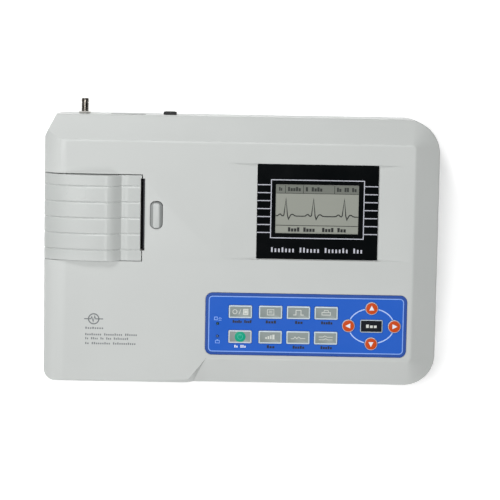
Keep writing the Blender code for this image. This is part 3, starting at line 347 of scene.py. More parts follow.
LAMP_GREEN = lens("lamp_green", 24, 60, 60)
LAMP_AMBER = lens("lamp_amber", 40, 66, 110)
RUBBER = rubber("foot_rubber", (0.02, 0.02, 0.021))
PLATEN_RUBBER = rubber("platen_rubber", (0.028, 0.028, 0.03))
PAPER = paper("chart_paper", (0.72, 0.71, 0.67))
BOARD = circuit("green_board", (0.012, 0.11, 0.045))
STEEL = metal("ground_steel", (0.55, 0.55, 0.56))
ZINC = metal("zinc_plate", (0.5, 0.5, 0.48), 0.38)
SATIN = metal("satin_plate", (0.74, 0.73, 0.7), 0.52)
# The stud's plated metal is darkened, which paints the dark reflections the plated stud shows.
STUD_NICKEL_DARKENED = metal("nickel_with_painted_dark_reflection", (0.2, 0.185, 0.165), 0.24)
CAN = metal("motor_can", (0.42, 0.42, 0.44), 0.34)
BRASS = metal("turned_brass", (0.62, 0.45, 0.2), 0.28)
GOLD = metal("contact_gold", (0.8, 0.58, 0.22), 0.2)
HEAD = metal("head_plate", (0.045, 0.046, 0.05), 0.42)


# Shapes


def turned(axis, a, b, along):
    """A point of a flat outline, at a height along the axis that the outline stands across."""
    return {"Z": (a, b, along), "Y": (a, along, b), "X": (along, a, b)}[axis]


def join(bm, near, far, closed=True):
    """The faces between two rows of vertices."""
    pairs = list(zip(near, far))
    after = pairs[1:] + pairs[:1] if closed else pairs[1:]
    return [bm.faces.new((first[0], second[0], second[1], first[1])) for first, second in zip(pairs, after)]


def colour_faces(faces, material):
    for face in faces:
        face.material_index = material


def add_box(bm, low, high, material=0):
    size = [b - a for a, b in zip(low, high)]
    middle = [(a + b) / 2 for a, b in zip(low, high)]
    matrix = Matrix.Translation(middle) @ Matrix.Diagonal((*size, 1))
    corners = bmesh.ops.create_cube(bm, size=1, matrix=matrix)["verts"]
    colour_faces({face for corner in corners for face in corner.link_faces}, material)


def add_prism(bm, outline, low, high, axis="Z", material=0):
    bottom, top = ([bm.verts.new(turned(axis, a, b, level)) for a, b in outline] for level in (low, high))
    colour_faces([bm.faces.new(bottom), bm.faces.new(top)] + join(bm, bottom, top), material)


def add_ribbon(bm, points, width, low, high, material=0, closed=False):
    """A flat printed line through points, with short mitres."""
    count = len(points)
    spots = [Vector(point) for point in points]
    rings = []
    for index, here in enumerate(spots):
        first = here - spots[index - 1] if closed or index else spots[1] - here
        second = spots[(index + 1) % count] - here if closed or index < count - 1 else first
        first, second = first.normalized(), second.normalized()
        across = Vector((-(first.y + second.y), first.x + second.x)).normalized()
        reach = width / 2 / max(0.4, across.dot(Vector((-second.y, second.x))))
        left, right = here + across * reach, here - across * reach
        section = ((left, high), (right, high), (right, low), (left, low))
        rings.append([bm.verts.new((*spot, level)) for spot, level in section])
    faces = []
    for near, far in zip(rings, rings[1:] + rings[:1] if closed else rings[1:]):
        faces += join(bm, near, far)
    if not closed:
        faces += [bm.faces.new(rings[0]), bm.faces.new(rings[-1])]
    colour_faces(faces, material)


def add_words(bm, x, v, height, groups, low, high, material=0, fill=0.62):
    """Groups of small bars that stand in for printed words between two x limits."""
    space, short = 1.1, 0.74
    unit = (x[1] - x[0]) / (sum(groups) + space * (len(groups) - 1))
    at, number = x[0], 0
    for group in groups:
        for place in range(group):
            foot = v - height / 2
            top = foot + (height if place == 0 or (number * 7) % 5 == 1 else height * short)
            start = at + unit * (1 - fill) / 2
            add_box(bm, (start, foot, low), (start + unit * fill, top, high), material)
            at += unit
            number += 1
        at += unit * space


def add_rings(bm, rings, close=False, materials=None):
    """Joins rings of equal length into a skin: with flat caps, or closed from the last ring to the first.

    Materials go one to each step, and the last one to the upper cap.
    """
    loops = [[bm.verts.new(point) for point in ring] for ring in rings]
    for step, (lower, upper) in enumerate(zip(loops, loops[1:] + loops[:1] if close else loops[1:])):
        colour_faces(join(bm, lower, upper), materials[step] if materials else 0)
    if not close:
        bm.faces.new(loops[0])
        colour_faces([bm.faces.new(loops[-1])], materials[-1] if materials else 0)


def add_skin(bm, loops, axis="Z", close=False, materials=None):
    """A skin over flat outlines, each at its own height along an axis."""
    rings = [[turned(axis, a, b, height) for a, b in outline] for outline, height in loops]
    add_rings(bm, rings, close, materials)


def add_lathe(bm, profile, steps=48, axis="Z", centre=(0, 0, 0), materials=None, close=False):
    rings = []
    for radius, height in profile:
        ring = circle(0, 0, max(radius, 0.001), steps)
        rings.append([Vector(centre) + Vector(turned(axis, a, b, height)) for a, b in ring])
    add_rings(bm, rings, close, materials)


def both_ends(profile, low, high):
    """A turned profile with the same shape at both ends, from its radii and their distances from an end."""
    near = [(radius, low + inset) for radius, inset in profile]
    return near + [(radius, high - inset) for radius, inset in reversed(profile)]


def circle(x, y, radius, steps=24):
    angles = [math.tau * step / steps for step in range(steps)]
    return [(x + radius * math.cos(angle), y + radius * math.sin(angle)) for angle in angles]


def rectangle(x, y, inset=0.0):
    (left, right), (low, high) = (x[0] + inset, x[1] - inset), (y[0] + inset, y[1] - inset)
    return [(left, low), (right, low), (right, high), (left, high)]


def rounded(x, y, radius, steps=8, inset=0.0):
    """The outline of a rectangle with round corners, its limits moved inwards by an inset."""
    x, y = (x[0] + inset, x[1] - inset), (y[0] + inset, y[1] - inset)
    outline = []
    for across, along, start in ((1, 1, 0), (0, 1, 90), (0, 0, 180), (1, 0, 270)):
        centre_x = x[across] - radius * (1 if across else -1)
        centre_y = y[along] - radius * (1 if along else -1)
        for step in range(steps + 1):
            angle = math.radians(start + 90 * step / steps)
            outline.append((centre_x + radius * math.cos(angle), centre_y + radius * math.sin(angle)))
    return outline


def add_stack(bm, x, y, radius, levels, steps=8, axis="Z", close=False, materials=None):
    """A rounded rectangle that steps inwards by an inset at each height."""
    loops = [(rounded(x, y, max(radius - inset, 0.15), steps, inset), height) for inset, height in levels]
    add_skin(bm, loops, axis, close, materials)


def spread(middle, size):
    return (middle - size / 2, middle + size / 2)


def chop(bm, point, normal):
    """Cuts away what lies outside a plane and fills the cut."""
    geometry = bm.verts[:] + bm.edges[:] + bm.faces[:]
    plane = {"plane_co": point, "plane_no": normal, "clear_outer": True}
    result = bmesh.ops.bisect_plane(bm, geom=geometry, dist=1e-4, **plane)
    edges = [item for item in result["geom_cut"] if isinstance(item, bmesh.types.BMEdge)]
    if edges:
        bmesh.ops.edgeloop_fill(bm, edges=edges)


def add_convex(bm, low, high, planes, inset=0.0):
    """A box cut by planes, which can all be moved inwards."""
    add_box(bm, low, high)
    for point, normal in planes:
        chop(bm, point - normal * inset, normal)


# Pieces


def new_mesh(name, build, place, materials=(), sharp=32):
    bm = bmesh.new()
    build(bm)
    bmesh.ops.remove_doubles(bm, verts=bm.verts, dist=1e-3)
    bmesh.ops.dissolve_degenerate(bm, edges=bm.edges, dist=1e-3)
    bmesh.ops.recalc_face_normals(bm, faces=bm.faces)
    bm.transform(place @ Matrix.Diagonal((MM, MM, MM, 1)))
    for face in bm.faces:
        face.smooth = True
    mesh = bpy.data.meshes.new(name)
    bm.to_mesh(mesh)
    bm.free()
    mesh.set_sharp_from_angle(angle=math.radians(sharp))
    for material in materials:
        mesh.materials.append(material)
    return mesh


def new_object(name, data):
    obj = bpy.data.objects.new(name, data)
    bpy.context.scene.collection.objects.link(obj)
    return obj


def metres(matrix):
    """A placement with its translation turned from millimetres to metres."""
    result = matrix.copy()
    result.translation = result.translation * MM
    return result


CASE_PLACE = metres(TO_CASE)
PANEL_PLACE = metres(TO_PANEL)


def piece(name, build, body, materials, nodes=(), place=PANEL_PLACE, sharp=32):
    """A visible piece that rides on a body, and stands for CAD nodes where they are named."""
    obj = new_object(name, new_mesh(name, build, place, materials, sharp))
    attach(obj, body)
    if nodes:
        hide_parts(*nodes)
    return obj


def case_piece(name, build, materials, node, sharp=32):
    """A piece on the base, built in the case frame in place of one CAD node."""
    return piece(name, build, "base", materials, [node], CASE_PLACE, sharp)


def helper(obj, build, place=PANEL_PLACE, operation="DIFFERENCE"):
    """Adds a Boolean with a shape that goes once it has been used."""
    label = build.__name__
    tool = new_object(f"{obj.name}_{label}", new_mesh(f"{obj.name}_{label}", build, place))
    modifier = obj.modifiers.new(label, "BOOLEAN")
    modifier.operation = operation
    modifier.solver = "EXACT"
    modifier.object = tool
    return tool


def settle(obj, tools=(), sharp=32, weighted=True):
    """Applies the modifiers, drops the tools and shades the result smooth between its sharp edges."""
    bpy.context.view_layer.update()
    graph = bpy.context.evaluated_depsgraph_get()
    mesh = bpy.data.meshes.new_from_object(obj.evaluated_get(graph))
    obj.modifiers.clear()
    obj.data = mesh
    bm = bmesh.new()
    bm.from_mesh(mesh)
    bmesh.ops.remove_doubles(bm, verts=bm.verts, dist=2e-6)
    bmesh.ops.dissolve_degenerate(bm, edges=bm.edges, dist=1e-6)
    for face in bm.faces:
        face.smooth = not weighted or face.calc_area() < 0.0025 * face.calc_perimeter()
    assert bm.faces, obj.name
    bm.to_mesh(mesh)
    bm.free()
    mesh.set_sharp_from_angle(angle=math.radians(sharp))
    for tool in tools:
        bpy.data.objects.remove(tool, do_unlink=True)
    if weighted:
        normals = obj.modifiers.new("normals", "WEIGHTED_NORMAL")
        normals.weight = 90
        normals.keep_sharp = True


def carve(obj, builds, place=PANEL_PLACE, sharp=24, weighted=True):
    """Cuts each shape from a piece and settles it."""
    settle(obj, [helper(obj, build, place) for build in builds], sharp, weighted)


def bevel(obj, width, segments, degrees=30):
    modifier = obj.modifiers.new("bevel", "BEVEL")
    modifier.width = width * MM
    modifier.segments = segments
    modifier.limit_method = "ANGLE"
    modifier.angle_limit = math.radians(degrees)
    settle(obj, weighted=False)


# Case. A plane is a point on it and the normal that points out of the case.


def panel_plane(x, v, n, normal):
    return SLOPE @ Vector((x, v, n)), (SLOPE.to_3x3() @ Vector(normal)).normalized()


PANEL = panel_plane(0, 0, 0, (0, 0, 1))
FRONT_WALL = (Vector((0, -HALF_D, 0)), Vector((0, -1, 0)))
REAR_CORNER = (HALF_W - REAR_R, HALF_D - REAR_R, REAR_R)
FRONT_CORNER = (HALF_W - FRONT_R, FRONT_R - HALF_D, FRONT_R)
LEFT_CORNER = (LEFT_R - HALF_W, LEFT_R - HALF_D, LEFT_R)
CUT_X, CUT_Y = 9.2, 18.3  # the slanting corner at the rear left
BAND_RUN, BAND_RISE = math.sin(BAND_SLOPE), math.cos(BAND_SLOPE)
CORNER_STEP = 3.75


def round_over(first, second, radius, parts):
    """Planes that round the edge between two planes: each touches a cylinder that lies against both."""
    (point_a, normal_a), (point_b, normal_b) = first, second
    along = normal_a.cross(normal_b)
    depths = (normal_a.dot(point_a) - radius, normal_b.dot(point_b) - radius, along.dot(point_a))
    centre = Matrix((normal_a, normal_b, along)).inverted() @ Vector(depths)
    turn = normal_a.angle(normal_b)
    planes = []
    for part in range(1, parts):
        share = turn * part / parts
        normal = (normal_a * math.sin(turn - share) + normal_b * math.sin(share)) / math.sin(turn)
        planes.append((centre + normal * radius, normal))
    return planes


def band_plane(degrees, crease):
    """The sloping band's plane that faces one way round a corner of the panel, at its rear or front crease."""
    angle = math.radians(degrees)
    centre_v = crease - math.copysign(CREASE_R, crease)
    x = RIGHT_CREASE - CREASE_R + CREASE_R * math.cos(angle)
    v = centre_v + CREASE_R * math.sin(angle)
    return panel_plane(x, v, 0, (math.cos(angle) * BAND_RUN, math.sin(angle) * BAND_RUN, BAND_RISE))


def wall_plane(degrees, centre_x, centre_y, radius):
    out = Vector((math.cos(math.radians(degrees)), math.sin(math.radians(degrees)), 0))
    return Vector((centre_x, centre_y, 0)) + out * radius, out


def soft_edges():
    """The rounding of the case's creases and top edges."""
    planes = round_over(PANEL, FRONT_WALL, EDGE_R, 9)
    corners = ((REAR_CREASE, REAR_CORNER, 0, range(25)), (FRONT_CREASE, FRONT_CORNER, 270, range(1, 24)))
    for crease, wall, start, steps in corners:
        for step in steps:
            degrees = start + CORNER_STEP * step
            band = band_plane(degrees, crease)
            if start == 0 or step % 2 == 0:
                planes += round_over(PANEL, band, SOFT_R, 5)
            planes += round_over(band, wall_plane(degrees, *wall), EDGE_R, 7)
    return planes


def wall_planes():
    planes = [
        (Vector((-HALF_W, 0, 0)), Vector((-1, 0, 0))),
        (Vector((HALF_W, 0, 0)), Vector((1, 0, 0))),
        (Vector((0, HALF_D, 0)), Vector((0, 1, 0))),
        FRONT_WALL,
    ]
    for corner, start, parts in ((REAR_CORNER, 0, 24), (FRONT_CORNER, 270, 24), (LEFT_CORNER, 180, 16)):
        planes += [wall_plane(start + 90 * part / parts, *corner) for part in range(1, parts)]
    planes.append((Vector((-HALF_W, HALF_D - CUT_Y, 0)), Vector((-CUT_Y, CUT_X, 0)).normalized()))
    return planes


def top_planes():
    planes = [PANEL]
    planes += [band_plane(CORNER_STEP * step, REAR_CREASE) for step in range(25)]
    planes += [band_plane(270 + 2 * CORNER_STEP * step, FRONT_CREASE) for step in range(1, 12)]
    for step in range(1, 25):
        angle = math.radians(88 * step / 24)
        x = LEFT_RUN - HALF_W - LEFT_RUN * math.sin(angle)
        n = LEFT_DROP * (math.cos(angle) - 1)
        normal = (-math.sin(angle) / LEFT_RUN, 0, math.cos(angle) / LEFT_DROP)
        planes.append(panel_plane(x, 0, n, normal))
    return planes


def step_plane():
    """The slanting facet where the front band ends on the left."""
    corner = Vector((-26.7, -87.6, 0))
    upper = Vector((-41.5, -106.6, 0))
    lower = Vector((-36.5, -108.3, -9.5))
    slant = (upper - corner).cross(lower - corner)
    slant *= -1 if slant.x > 0 else 1
    return panel_plane(*corner, slant)


def front_step(bm):
    """What the front band cuts away, with its crease and its front edge rounded."""
    band = band_plane(270, FRONT_CREASE)
    planes = [PANEL] + round_over(PANEL, band, SOFT_R, 5) + [band]
    planes += round_over(band, FRONT_WALL, EDGE_R, 7) + [FRONT_WALL]
    outline = []
    for (point_a, normal_a), (point_b, normal_b) in zip(planes, planes[1:]):
        flat = Matrix(((normal_a.y, normal_a.z), (normal_b.y, normal_b.z))).inverted()
        outline.append(tuple(flat @ Vector((normal_a.dot(point_a), normal_b.dot(point_b)))))
    outline = [(outline[0][0], 110.0)] + outline + [(-160.0, outline[-1][1]), (-160.0, 110.0)]
    add_prism(bm, outline, -80, 200, "X")
    chop(bm, *step_plane())


def front_hollow(bm):
    """What the front band takes from the hollow."""
    band = panel_plane(0, FRONT_CREASE, 0, (0, BAND_RUN, -BAND_RISE))
    add_convex(bm, (-80, -160, 30), (200, -30, 90), [band, step_plane()], -WALL)


def build_upper_case():
    def outer(bm):
        planes = wall_planes() + top_planes() + soft_edges()
        add_convex(bm, (-170, -120, SPLIT_Z + 0.3), (170, 120, 100), planes)

    def hollow(bm):
        add_convex(bm, (-170, -120, SPLIT_Z - 10), (170, 120, 100), wall_planes() + top_planes(), WALL)

    def hinge_lugs(bm):
        for start, end in ((-15.2, -10.0), (60.6, 65.8)):
            add_box(bm, (-156.6, start, -35.6), (-150.2, end, -25.4))

    def hinge_holes(bm):
        add_lathe(bm, [(PIN_HOLE, -13.6), (PIN_HOLE, 64.2)], 32, "Y", (HINGE.x, 0, HINGE.z))

    def door_opening(bm):
        low = (-170, DOOR_V - DOOR_HALF - 0.4, HINGE.z - BARREL_R - 0.8)
        add_box(bm, low, (DOOR_RIGHT + 0.8, DOOR_V + DOOR_HALF + 0.75, 20))

    def slot_and_button(bm):
        add_box(bm, (SLOT_X[0], SLOT_V[0], -6), (SLOT_X[1], SLOT_V[1], 6))
        v = spread(BUTTON.y, BUTTON_SIZE[1])
        add_prism(bm, rounded(spread(BUTTON.x, BUTTON_SIZE[0] + 0.7), (v[0] - 0.3, v[1] + 0.9), 4.2, 16), -6, 6)

    def display_recess(bm):
        left, right = WINDOW_X[0] - 0.3, WINDOW_X[1] + 0.3
        rise = 6.0
        ends = []
        for v, edge_left, edge_right in (
            (WINDOW_V[0] - 0.8, -17.5, 136.5),
            (WINDOW_V[1] + 0.3, -14.5, 133.0),
        ):
            slope = 1 + rise / WINDOW_DROP
            top_left, top_right = left + (edge_left - left) * slope, right + (edge_right - right) * slope
            ring = ((left, -WINDOW_DROP), (right, -WINDOW_DROP), (top_right, rise), (top_left, rise))
            ends.append([bm.verts.new((x, v, n)) for x, n in ring])
            bm.faces.new(ends[-1])
        join(bm, *ends)

    def recess_lip(bm):
        v = WINDOW_V[0] - 0.8
        outline = [(v + 0.5, -0.22), (v, -0.22), (v - 0.95, 0.0), (v - 0.95, 2), (v + 0.5, 2)]
        add_prism(bm, outline, -14.5, 133.5, "X")

    def display_opening(bm):
        add_prism(bm, rounded(WINDOW_X, WINDOW_V, 1, 3, inset=4), -20, 4)

    def keypad_recess(bm):
        add_prism(bm, rounded(PAD_X, PAD_V, PAD_R + 0.3, 12, inset=-0.3), PAD_TOP - 1.7, 6)

    def keypad_opening(bm):
        add_prism(bm, rounded(PAD_X, PAD_V, 3, 4, inset=4), -20, 4)

    def wall_openings(bm):
        for x, half_x, half_z in ((INLET_X, 14.0, 10.3), (SWITCH_X, 5.0, 8.0)):
            add_box(bm, (x - half_x, 100, REAR_Z - half_z), (x + half_x, 120, REAR_Z + half_z))
        add_lathe(bm, [(3.2, 100), (3.2, 120)], 32, "Y", (STUD_X, 0, REAR_Z))
        add_prism(bm, [(6.9, 44.6), (33.1, 44.6), (31.2, 35.4), (8.8, 35.4)], 150, 170, "X")
        add_box(bm, (150, -36.8, 36.4), (170, -23.2, 43.6))

    case = case_piece("upper_shell", outer, [SHELL], "upper_case")
    carve(case, [front_step], CASE_PLACE, weighted=False)
    tools = [helper(case, hollow, CASE_PLACE)]
    carve(tools[0], [front_hollow], CASE_PLACE, weighted=False)
    tools.append(helper(case, hinge_lugs, operation="UNION"))
    cuts = [hinge_holes, door_opening, slot_and_button, display_recess, recess_lip, display_opening]
    tools += [helper(case, cut) for cut in cuts + [keypad_recess, keypad_opening]]
    tools.append(helper(case, wall_openings, CASE_PLACE))
    settle(case, tools, 24)


def bottom_planes():
    """The chamfer round the foot of the walls."""
    low = Vector((0, 0, FOOT_H + 3.0))
    return [(point + low, (normal + Vector((0, 0, -1))).normalized()) for point, normal in wall_planes()]


def battery_outline(gap):
    left, right, tab = 25 + gap, 113 - gap, 122 - gap
    outline = [(left, -63 + gap), (right, -63 + gap), (right, -38 + gap), (tab, -38 + gap)]
    return outline + [(tab, -30 - gap), (right, -30 - gap), (right, -5 - gap), (left, -5 - gap)]


def build_lower_case():
    """The lower shell with its rounded edges, battery bay and screw wells."""

    def outer(bm):
        add_convex(bm, (-170, -120, FOOT_H), (170, 120, SPLIT_Z), wall_planes() + bottom_planes())

    def hollow(bm):
        planes = wall_planes() + bottom_planes()
        add_convex(bm, (-170, -120, FOOT_H + WALL), (170, 120, SPLIT_Z + 10), planes, WALL)

    def battery_door(bm):
        add_prism(bm, battery_outline(0), FOOT_H - 1, FOOT_H + 1.6)

    def battery_bay(bm):
        add_box(bm, (30, -58, FOOT_H + 1), (108, -10, FOOT_H + 12))

    def screw_wells(bm):
        for x, y in SCREW_SPOTS:
            add_lathe(bm, [(3.3, FOOT_H - 1), (3.3, FOOT_H + 4.2)], 32, centre=(x, y, 0))

    shell = case_piece("lower_shell", outer, [BASE_SHELL], "lower_case")
    bevel(shell, 0.6, 3, 20)
    carve(shell, [hollow, battery_door, battery_bay, screw_wells], CASE_PLACE)


def build_base_parts():
    """The rubber feet and the lid of the battery bay."""
    profile = [(0.0, 0.5), (3.2, 0.5), (3.6, 0.0), (6.2, 0.0), (6.7, 0.2), (7.0, 0.7), (7.0, FOOT_H - 0.3)]
    for index, (x, y) in enumerate(FOOT_SPOTS, 1):

        def foot(bm):
            add_lathe(bm, profile, 56, centre=(x, y, 0))

        case_piece(f"rubber_foot_{index}", foot, [RUBBER], f"foot_{index}", 40)

    def cover(bm):
        add_prism(bm, battery_outline(0.3), FOOT_H, FOOT_H + 1.3)

    def grips(bm):
        for number in range(7):
            x = 96 + 2.2 * number
            add_box(bm, (x, -46, FOOT_H - 1), (x + 1.0, -22, FOOT_H + 0.5))
        add_lathe(bm, [(1.3, 0), (1.3, 10)], 24, centre=(118, -34, 0))

    lid = case_piece("battery_lid", cover, [BASE_SHELL], "battery_cover")
    bevel(lid, 0.35, 2)
    carve(lid, [grips], CASE_PLACE)


# Display


def build_display():
    """The black pane with its printed frame and side lines, and the screen that shows through it."""
    top, screen_top = -0.3, -0.9
    view_x, view_v = (27.0, 93.2), (15.1, 54.6)
    frame_x, frame_v = (23.4, 97.4), (11.4, 58.2)

    def pane(bm):
        add_stack(bm, WINDOW_X, WINDOW_V, 0.7, ((0, -1.2), (0, top - 0.2), (0.06, top - 0.06), (0.2, top)))

    def opening(bm):
        add_prism(bm, rounded(view_x, view_v, 0.5, 4), -3, 2)

    def prints(bm):
        low, high = top - SINK, top + PRINT
        add_ribbon(bm, rectangle(frame_x, frame_v), 0.7, low, high, closed=True)
        for number in range(7):
            left_v, right_v = 54.1 - 6.42 * number, 53.9 - 6.43 * number
            add_ribbon(bm, [(WINDOW_X[0] + 0.3, left_v), (frame_x[0], left_v)], 0.7, low, high)
            add_ribbon(bm, [(frame_x[1], right_v), (WINDOW_X[1] - 0.3, right_v)], 0.7, low, high)
        add_words(bm, (23.3, 97.5), 1.8, 3.9, (7, 6, 7, 3), low, high, 0, 0.45)

    def module(bm):
        low = (WINDOW_X[0] + 4.5, WINDOW_V[0] + 4.5, -9)
        add_box(bm, low, (WINDOW_X[1] - 4.5, WINDOW_V[1] - 4.5, -1.9), 1)
        low = (view_x[0] + 0.1, view_v[0] + 0.1, -2)
        add_box(bm, low, (view_x[1] - 0.1, view_v[1] - 0.1, screen_top), 0)

    def graphics(bm):
        """Three heartbeats between a bar at the top and a row of words at the foot."""
        low, high = screen_top - SINK, screen_top + PRINT
        over = high + 0.02
        left, right = view_x[0] + 0.3, view_x[1] - 0.3
        beat = [(-8.4, 0.0), (-6.4, 0.2), (-5.2, 1.3), (-4.2, 1.5), (-3.2, 0.3), (-2.2, 0.0), (-1.5, 0.8)]
        beat += [(0.0, 14.2), (1.3, 0.6), (2.2, -2.4), (3.2, -0.4), (4.2, 1.2), (5.6, 1.4), (7.2, 0.3)]
        beat.append((8.6, 0.0))
        base = 29.1
        trace = [(left, base)] + [(x + a, base + b) for x in (35.3, 57.3, 81.8) for a, b in beat]
        trace.append((right, 29.0))
        add_ribbon(bm, [point for point in trace if view_x[0] < point[0] < view_x[1]], 0.85, low, high)
        add_box(bm, (left, 21.3, low), (right, 21.8, high))
        add_box(bm, (view_x[0] + 0.2, 47.5, low), (view_x[1] - 0.2, 54.3, high), 1)
        add_box(bm, (left, 47.2, low), (right, 47.6, over))
        for x in (34.7, 49.0, 73.8):
            add_box(bm, (x - 0.2, 47.4, low), (x + 0.2, 54.0, over))
        for start, end, height, groups in (
            (29.4, 32.2, 3.0, (2,)),
            (36.4, 47.0, 3.4, (5,)),
            (50.6, 64.2, 3.4, (1, 4)),
            (75.4, 91.4, 3.4, (2, 2, 2)),
        ):
            add_words(bm, (start, end), 50.9, height, groups, low, over, 2, 0.8)
        for start, end, groups in ((37.0, 58.8, (4, 4)), (64.2, 83.6, (4, 3))):
            add_words(bm, (start, end), 18.3, 3.5, groups, low, high, 0, 0.78)

    window = piece("display_pane", pane, "base", [GLOSS_BLACK], ["display_window"])
    carve(window, [opening], sharp=30)
    piece("display_print", prints, "base", [INK_PALE, INK_WHITE])
    piece("display_screen", module, "base", [SCREEN, BLACK], ["lcd_module"])
    piece("display_graphics", graphics, "base", [SCREEN_INK, SCREEN_BAR, SCREEN_FAINT])


# Keypad

SPEED_LINE = ((-5.8, -0.9), (-3.6, -0.9), (-2.4, 0.6), (-1.0, -0.7), (0.6, 0.7), (2.2, -0.6), (5.8, -0.6))

# Simple generic symbols, as lines round a key's middle: the points, the width, and whether the line closes
ICONS = {
    "start": (
        (circle(-4.4, 0, 1.7, 16), 0.5, True),
        (((-1.2, -2.0), (0.4, 2.0)), 0.45, False),
        (rectangle((2.6, 6.0), (-2.0, 2.0)), 0.9, True),
        (((4.3, -1.2), (4.3, 1.2)), 2.2, False),
    ),
    "mode": (
        (rectangle((-2.6, 2.6), (-2.2, 2.2)), 0.45, True),
        (((-1.4, 0.9), (1.4, 0.9)), 0.45, False),
        (((-1.4, -0.4), (1.4, -0.4)), 0.45, False),
    ),
    "cal": ((((-4.2, -1.8), (-2.0, -1.8), (-2.0, 2.0), (2.0, 2.0), (2.0, -1.8), (4.2, -1.8)), 0.6, False),),
    "print": (
        (rectangle((-3.4, 3.4), (-1.5, 0.6)), 0.5, True),
        (((-1.9, 0.6), (-1.5, 2.3), (1.5, 2.3), (1.9, 0.6)), 0.45, False),
    ),
    "lead": (
        (((-3.3, -1.4), (-3.3, 0.0)), 1.3, False),
        (((-1.4, -1.4), (-1.4, 0.9)), 1.3, False),
        (((0.5, -1.4), (0.5, 1.6)), 1.3, False),
        (((2.6, -1.6), (2.6, 2.2)), 1.7, False),
    ),
    "speed": ((SPEED_LINE, 0.5, False),),
    "filter": (
        (((-5.6, 0.9), (-2.2, 0.9), (-0.6, 1.9), (1.0, 0.9), (5.6, 0.9)), 0.45, False),
        (((-5.6, -1.3), (-1.8, -1.3), (0.0, -0.4), (1.8, -1.3), (5.6, -1.3)), 0.45, False),
    ),
}


def build_keypad_face(keys, arrows):
    """The blue overlay with holes for the keys and lamps, and what is printed on it."""

    def overlay(bm):
        levels = ((0, -1.6), (0, -0.2), (0.1, -0.04), (0.3, 0), (2.5, 0), (3.2, 0))
        levels = [(inset, PAD_TOP + height) for inset, height in levels]
        add_stack(bm, PAD_X, PAD_V, PAD_R, levels, 14, materials=[1, 1, 1, 1, 2, 0])

    def holes(bm):
        for _, x, v, size in keys:
            add_prism(bm, rounded(spread(x, size[0] + 0.6), spread(v, size[1] + 0.6), 1.3, 5), -4, 4)
        for _, x, v, _, _ in arrows:
            add_lathe(bm, [(CURSOR_R + 0.3, -4), (CURSOR_R + 0.3, 4)], 48, centre=(x, v, 0))
        for v in LAMP_V:
            add_lathe(bm, [(1.25, -4), (1.25, 4)], 24, centre=(LAMP_X, v, 0))

    def prints(bm):
        low, high = PAD_TOP - SINK, PAD_TOP + PRINT
        half_x, half_v = 18.3, 14.2
        for quarter, start in enumerate((22.5, 17.5, 22.5, 17.5)):
            angles = [math.radians(90 * quarter + start + 50 * step / 24) for step in range(25)]
            arc = [(CURSOR[0] + half_x * math.cos(a), CURSOR[1] + half_v * math.sin(a)) for a in angles]
            add_ribbon(bm, arc, 0.85, low, high, 3)
        for v, x, width, groups in (
            (-57.0, 1.9, 15.4, (5, 4)),
            (-57.0, 25.0, 8.6, (4,)),
            (-57.0, 47.4, 6.4, (3,)),
            (-57.0, 69.8, 9.4, (5,)),
            (-77.3, 25.2, 6.6, (3,)),
            (-77.3, 47.5, 9.6, (5,)),
            (-77.3, 69.8, 9.4, (5,)),
        ):
            add_words(bm, spread(x, width), v, 2.4, groups, low, high, 1, 0.78)
        add_words(bm, spread(0.6, 9.6), -77.3, 2.2, (2, 3), low, high, 2)
        for points, width, closed in (
            (rectangle((-20.2, -17.9), (-56.0, -53.7)), 0.5, True),
            (((-16.9, -56.2), (-14.6, -56.2)), 0.5, False),
            (((-16.9, -55.0), (-15.8, -54.2), (-14.6, -55.0)), 0.5, False),
            (rectangle((-19.2, -16.0), (-74.9, -72.8)), 0.4, True),
            (((-18.3, -72.3), (-16.9, -72.3)), 0.5, False),
        ):
            add_ribbon(bm, points, width, low, high, 0, closed)

    materials = [BLUE, BLUE_RIM, INK_LIGHT_BLUE]
    pad = piece("keypad_face", overlay, "base", materials, ["keypad_overlay"])
    carve(pad, [holes], sharp=30)
    materials = [INK_LIGHT_BLUE, INK_BLACK, INK_WHITE, INK_RING]
    piece("keypad_print", prints, "base", materials)


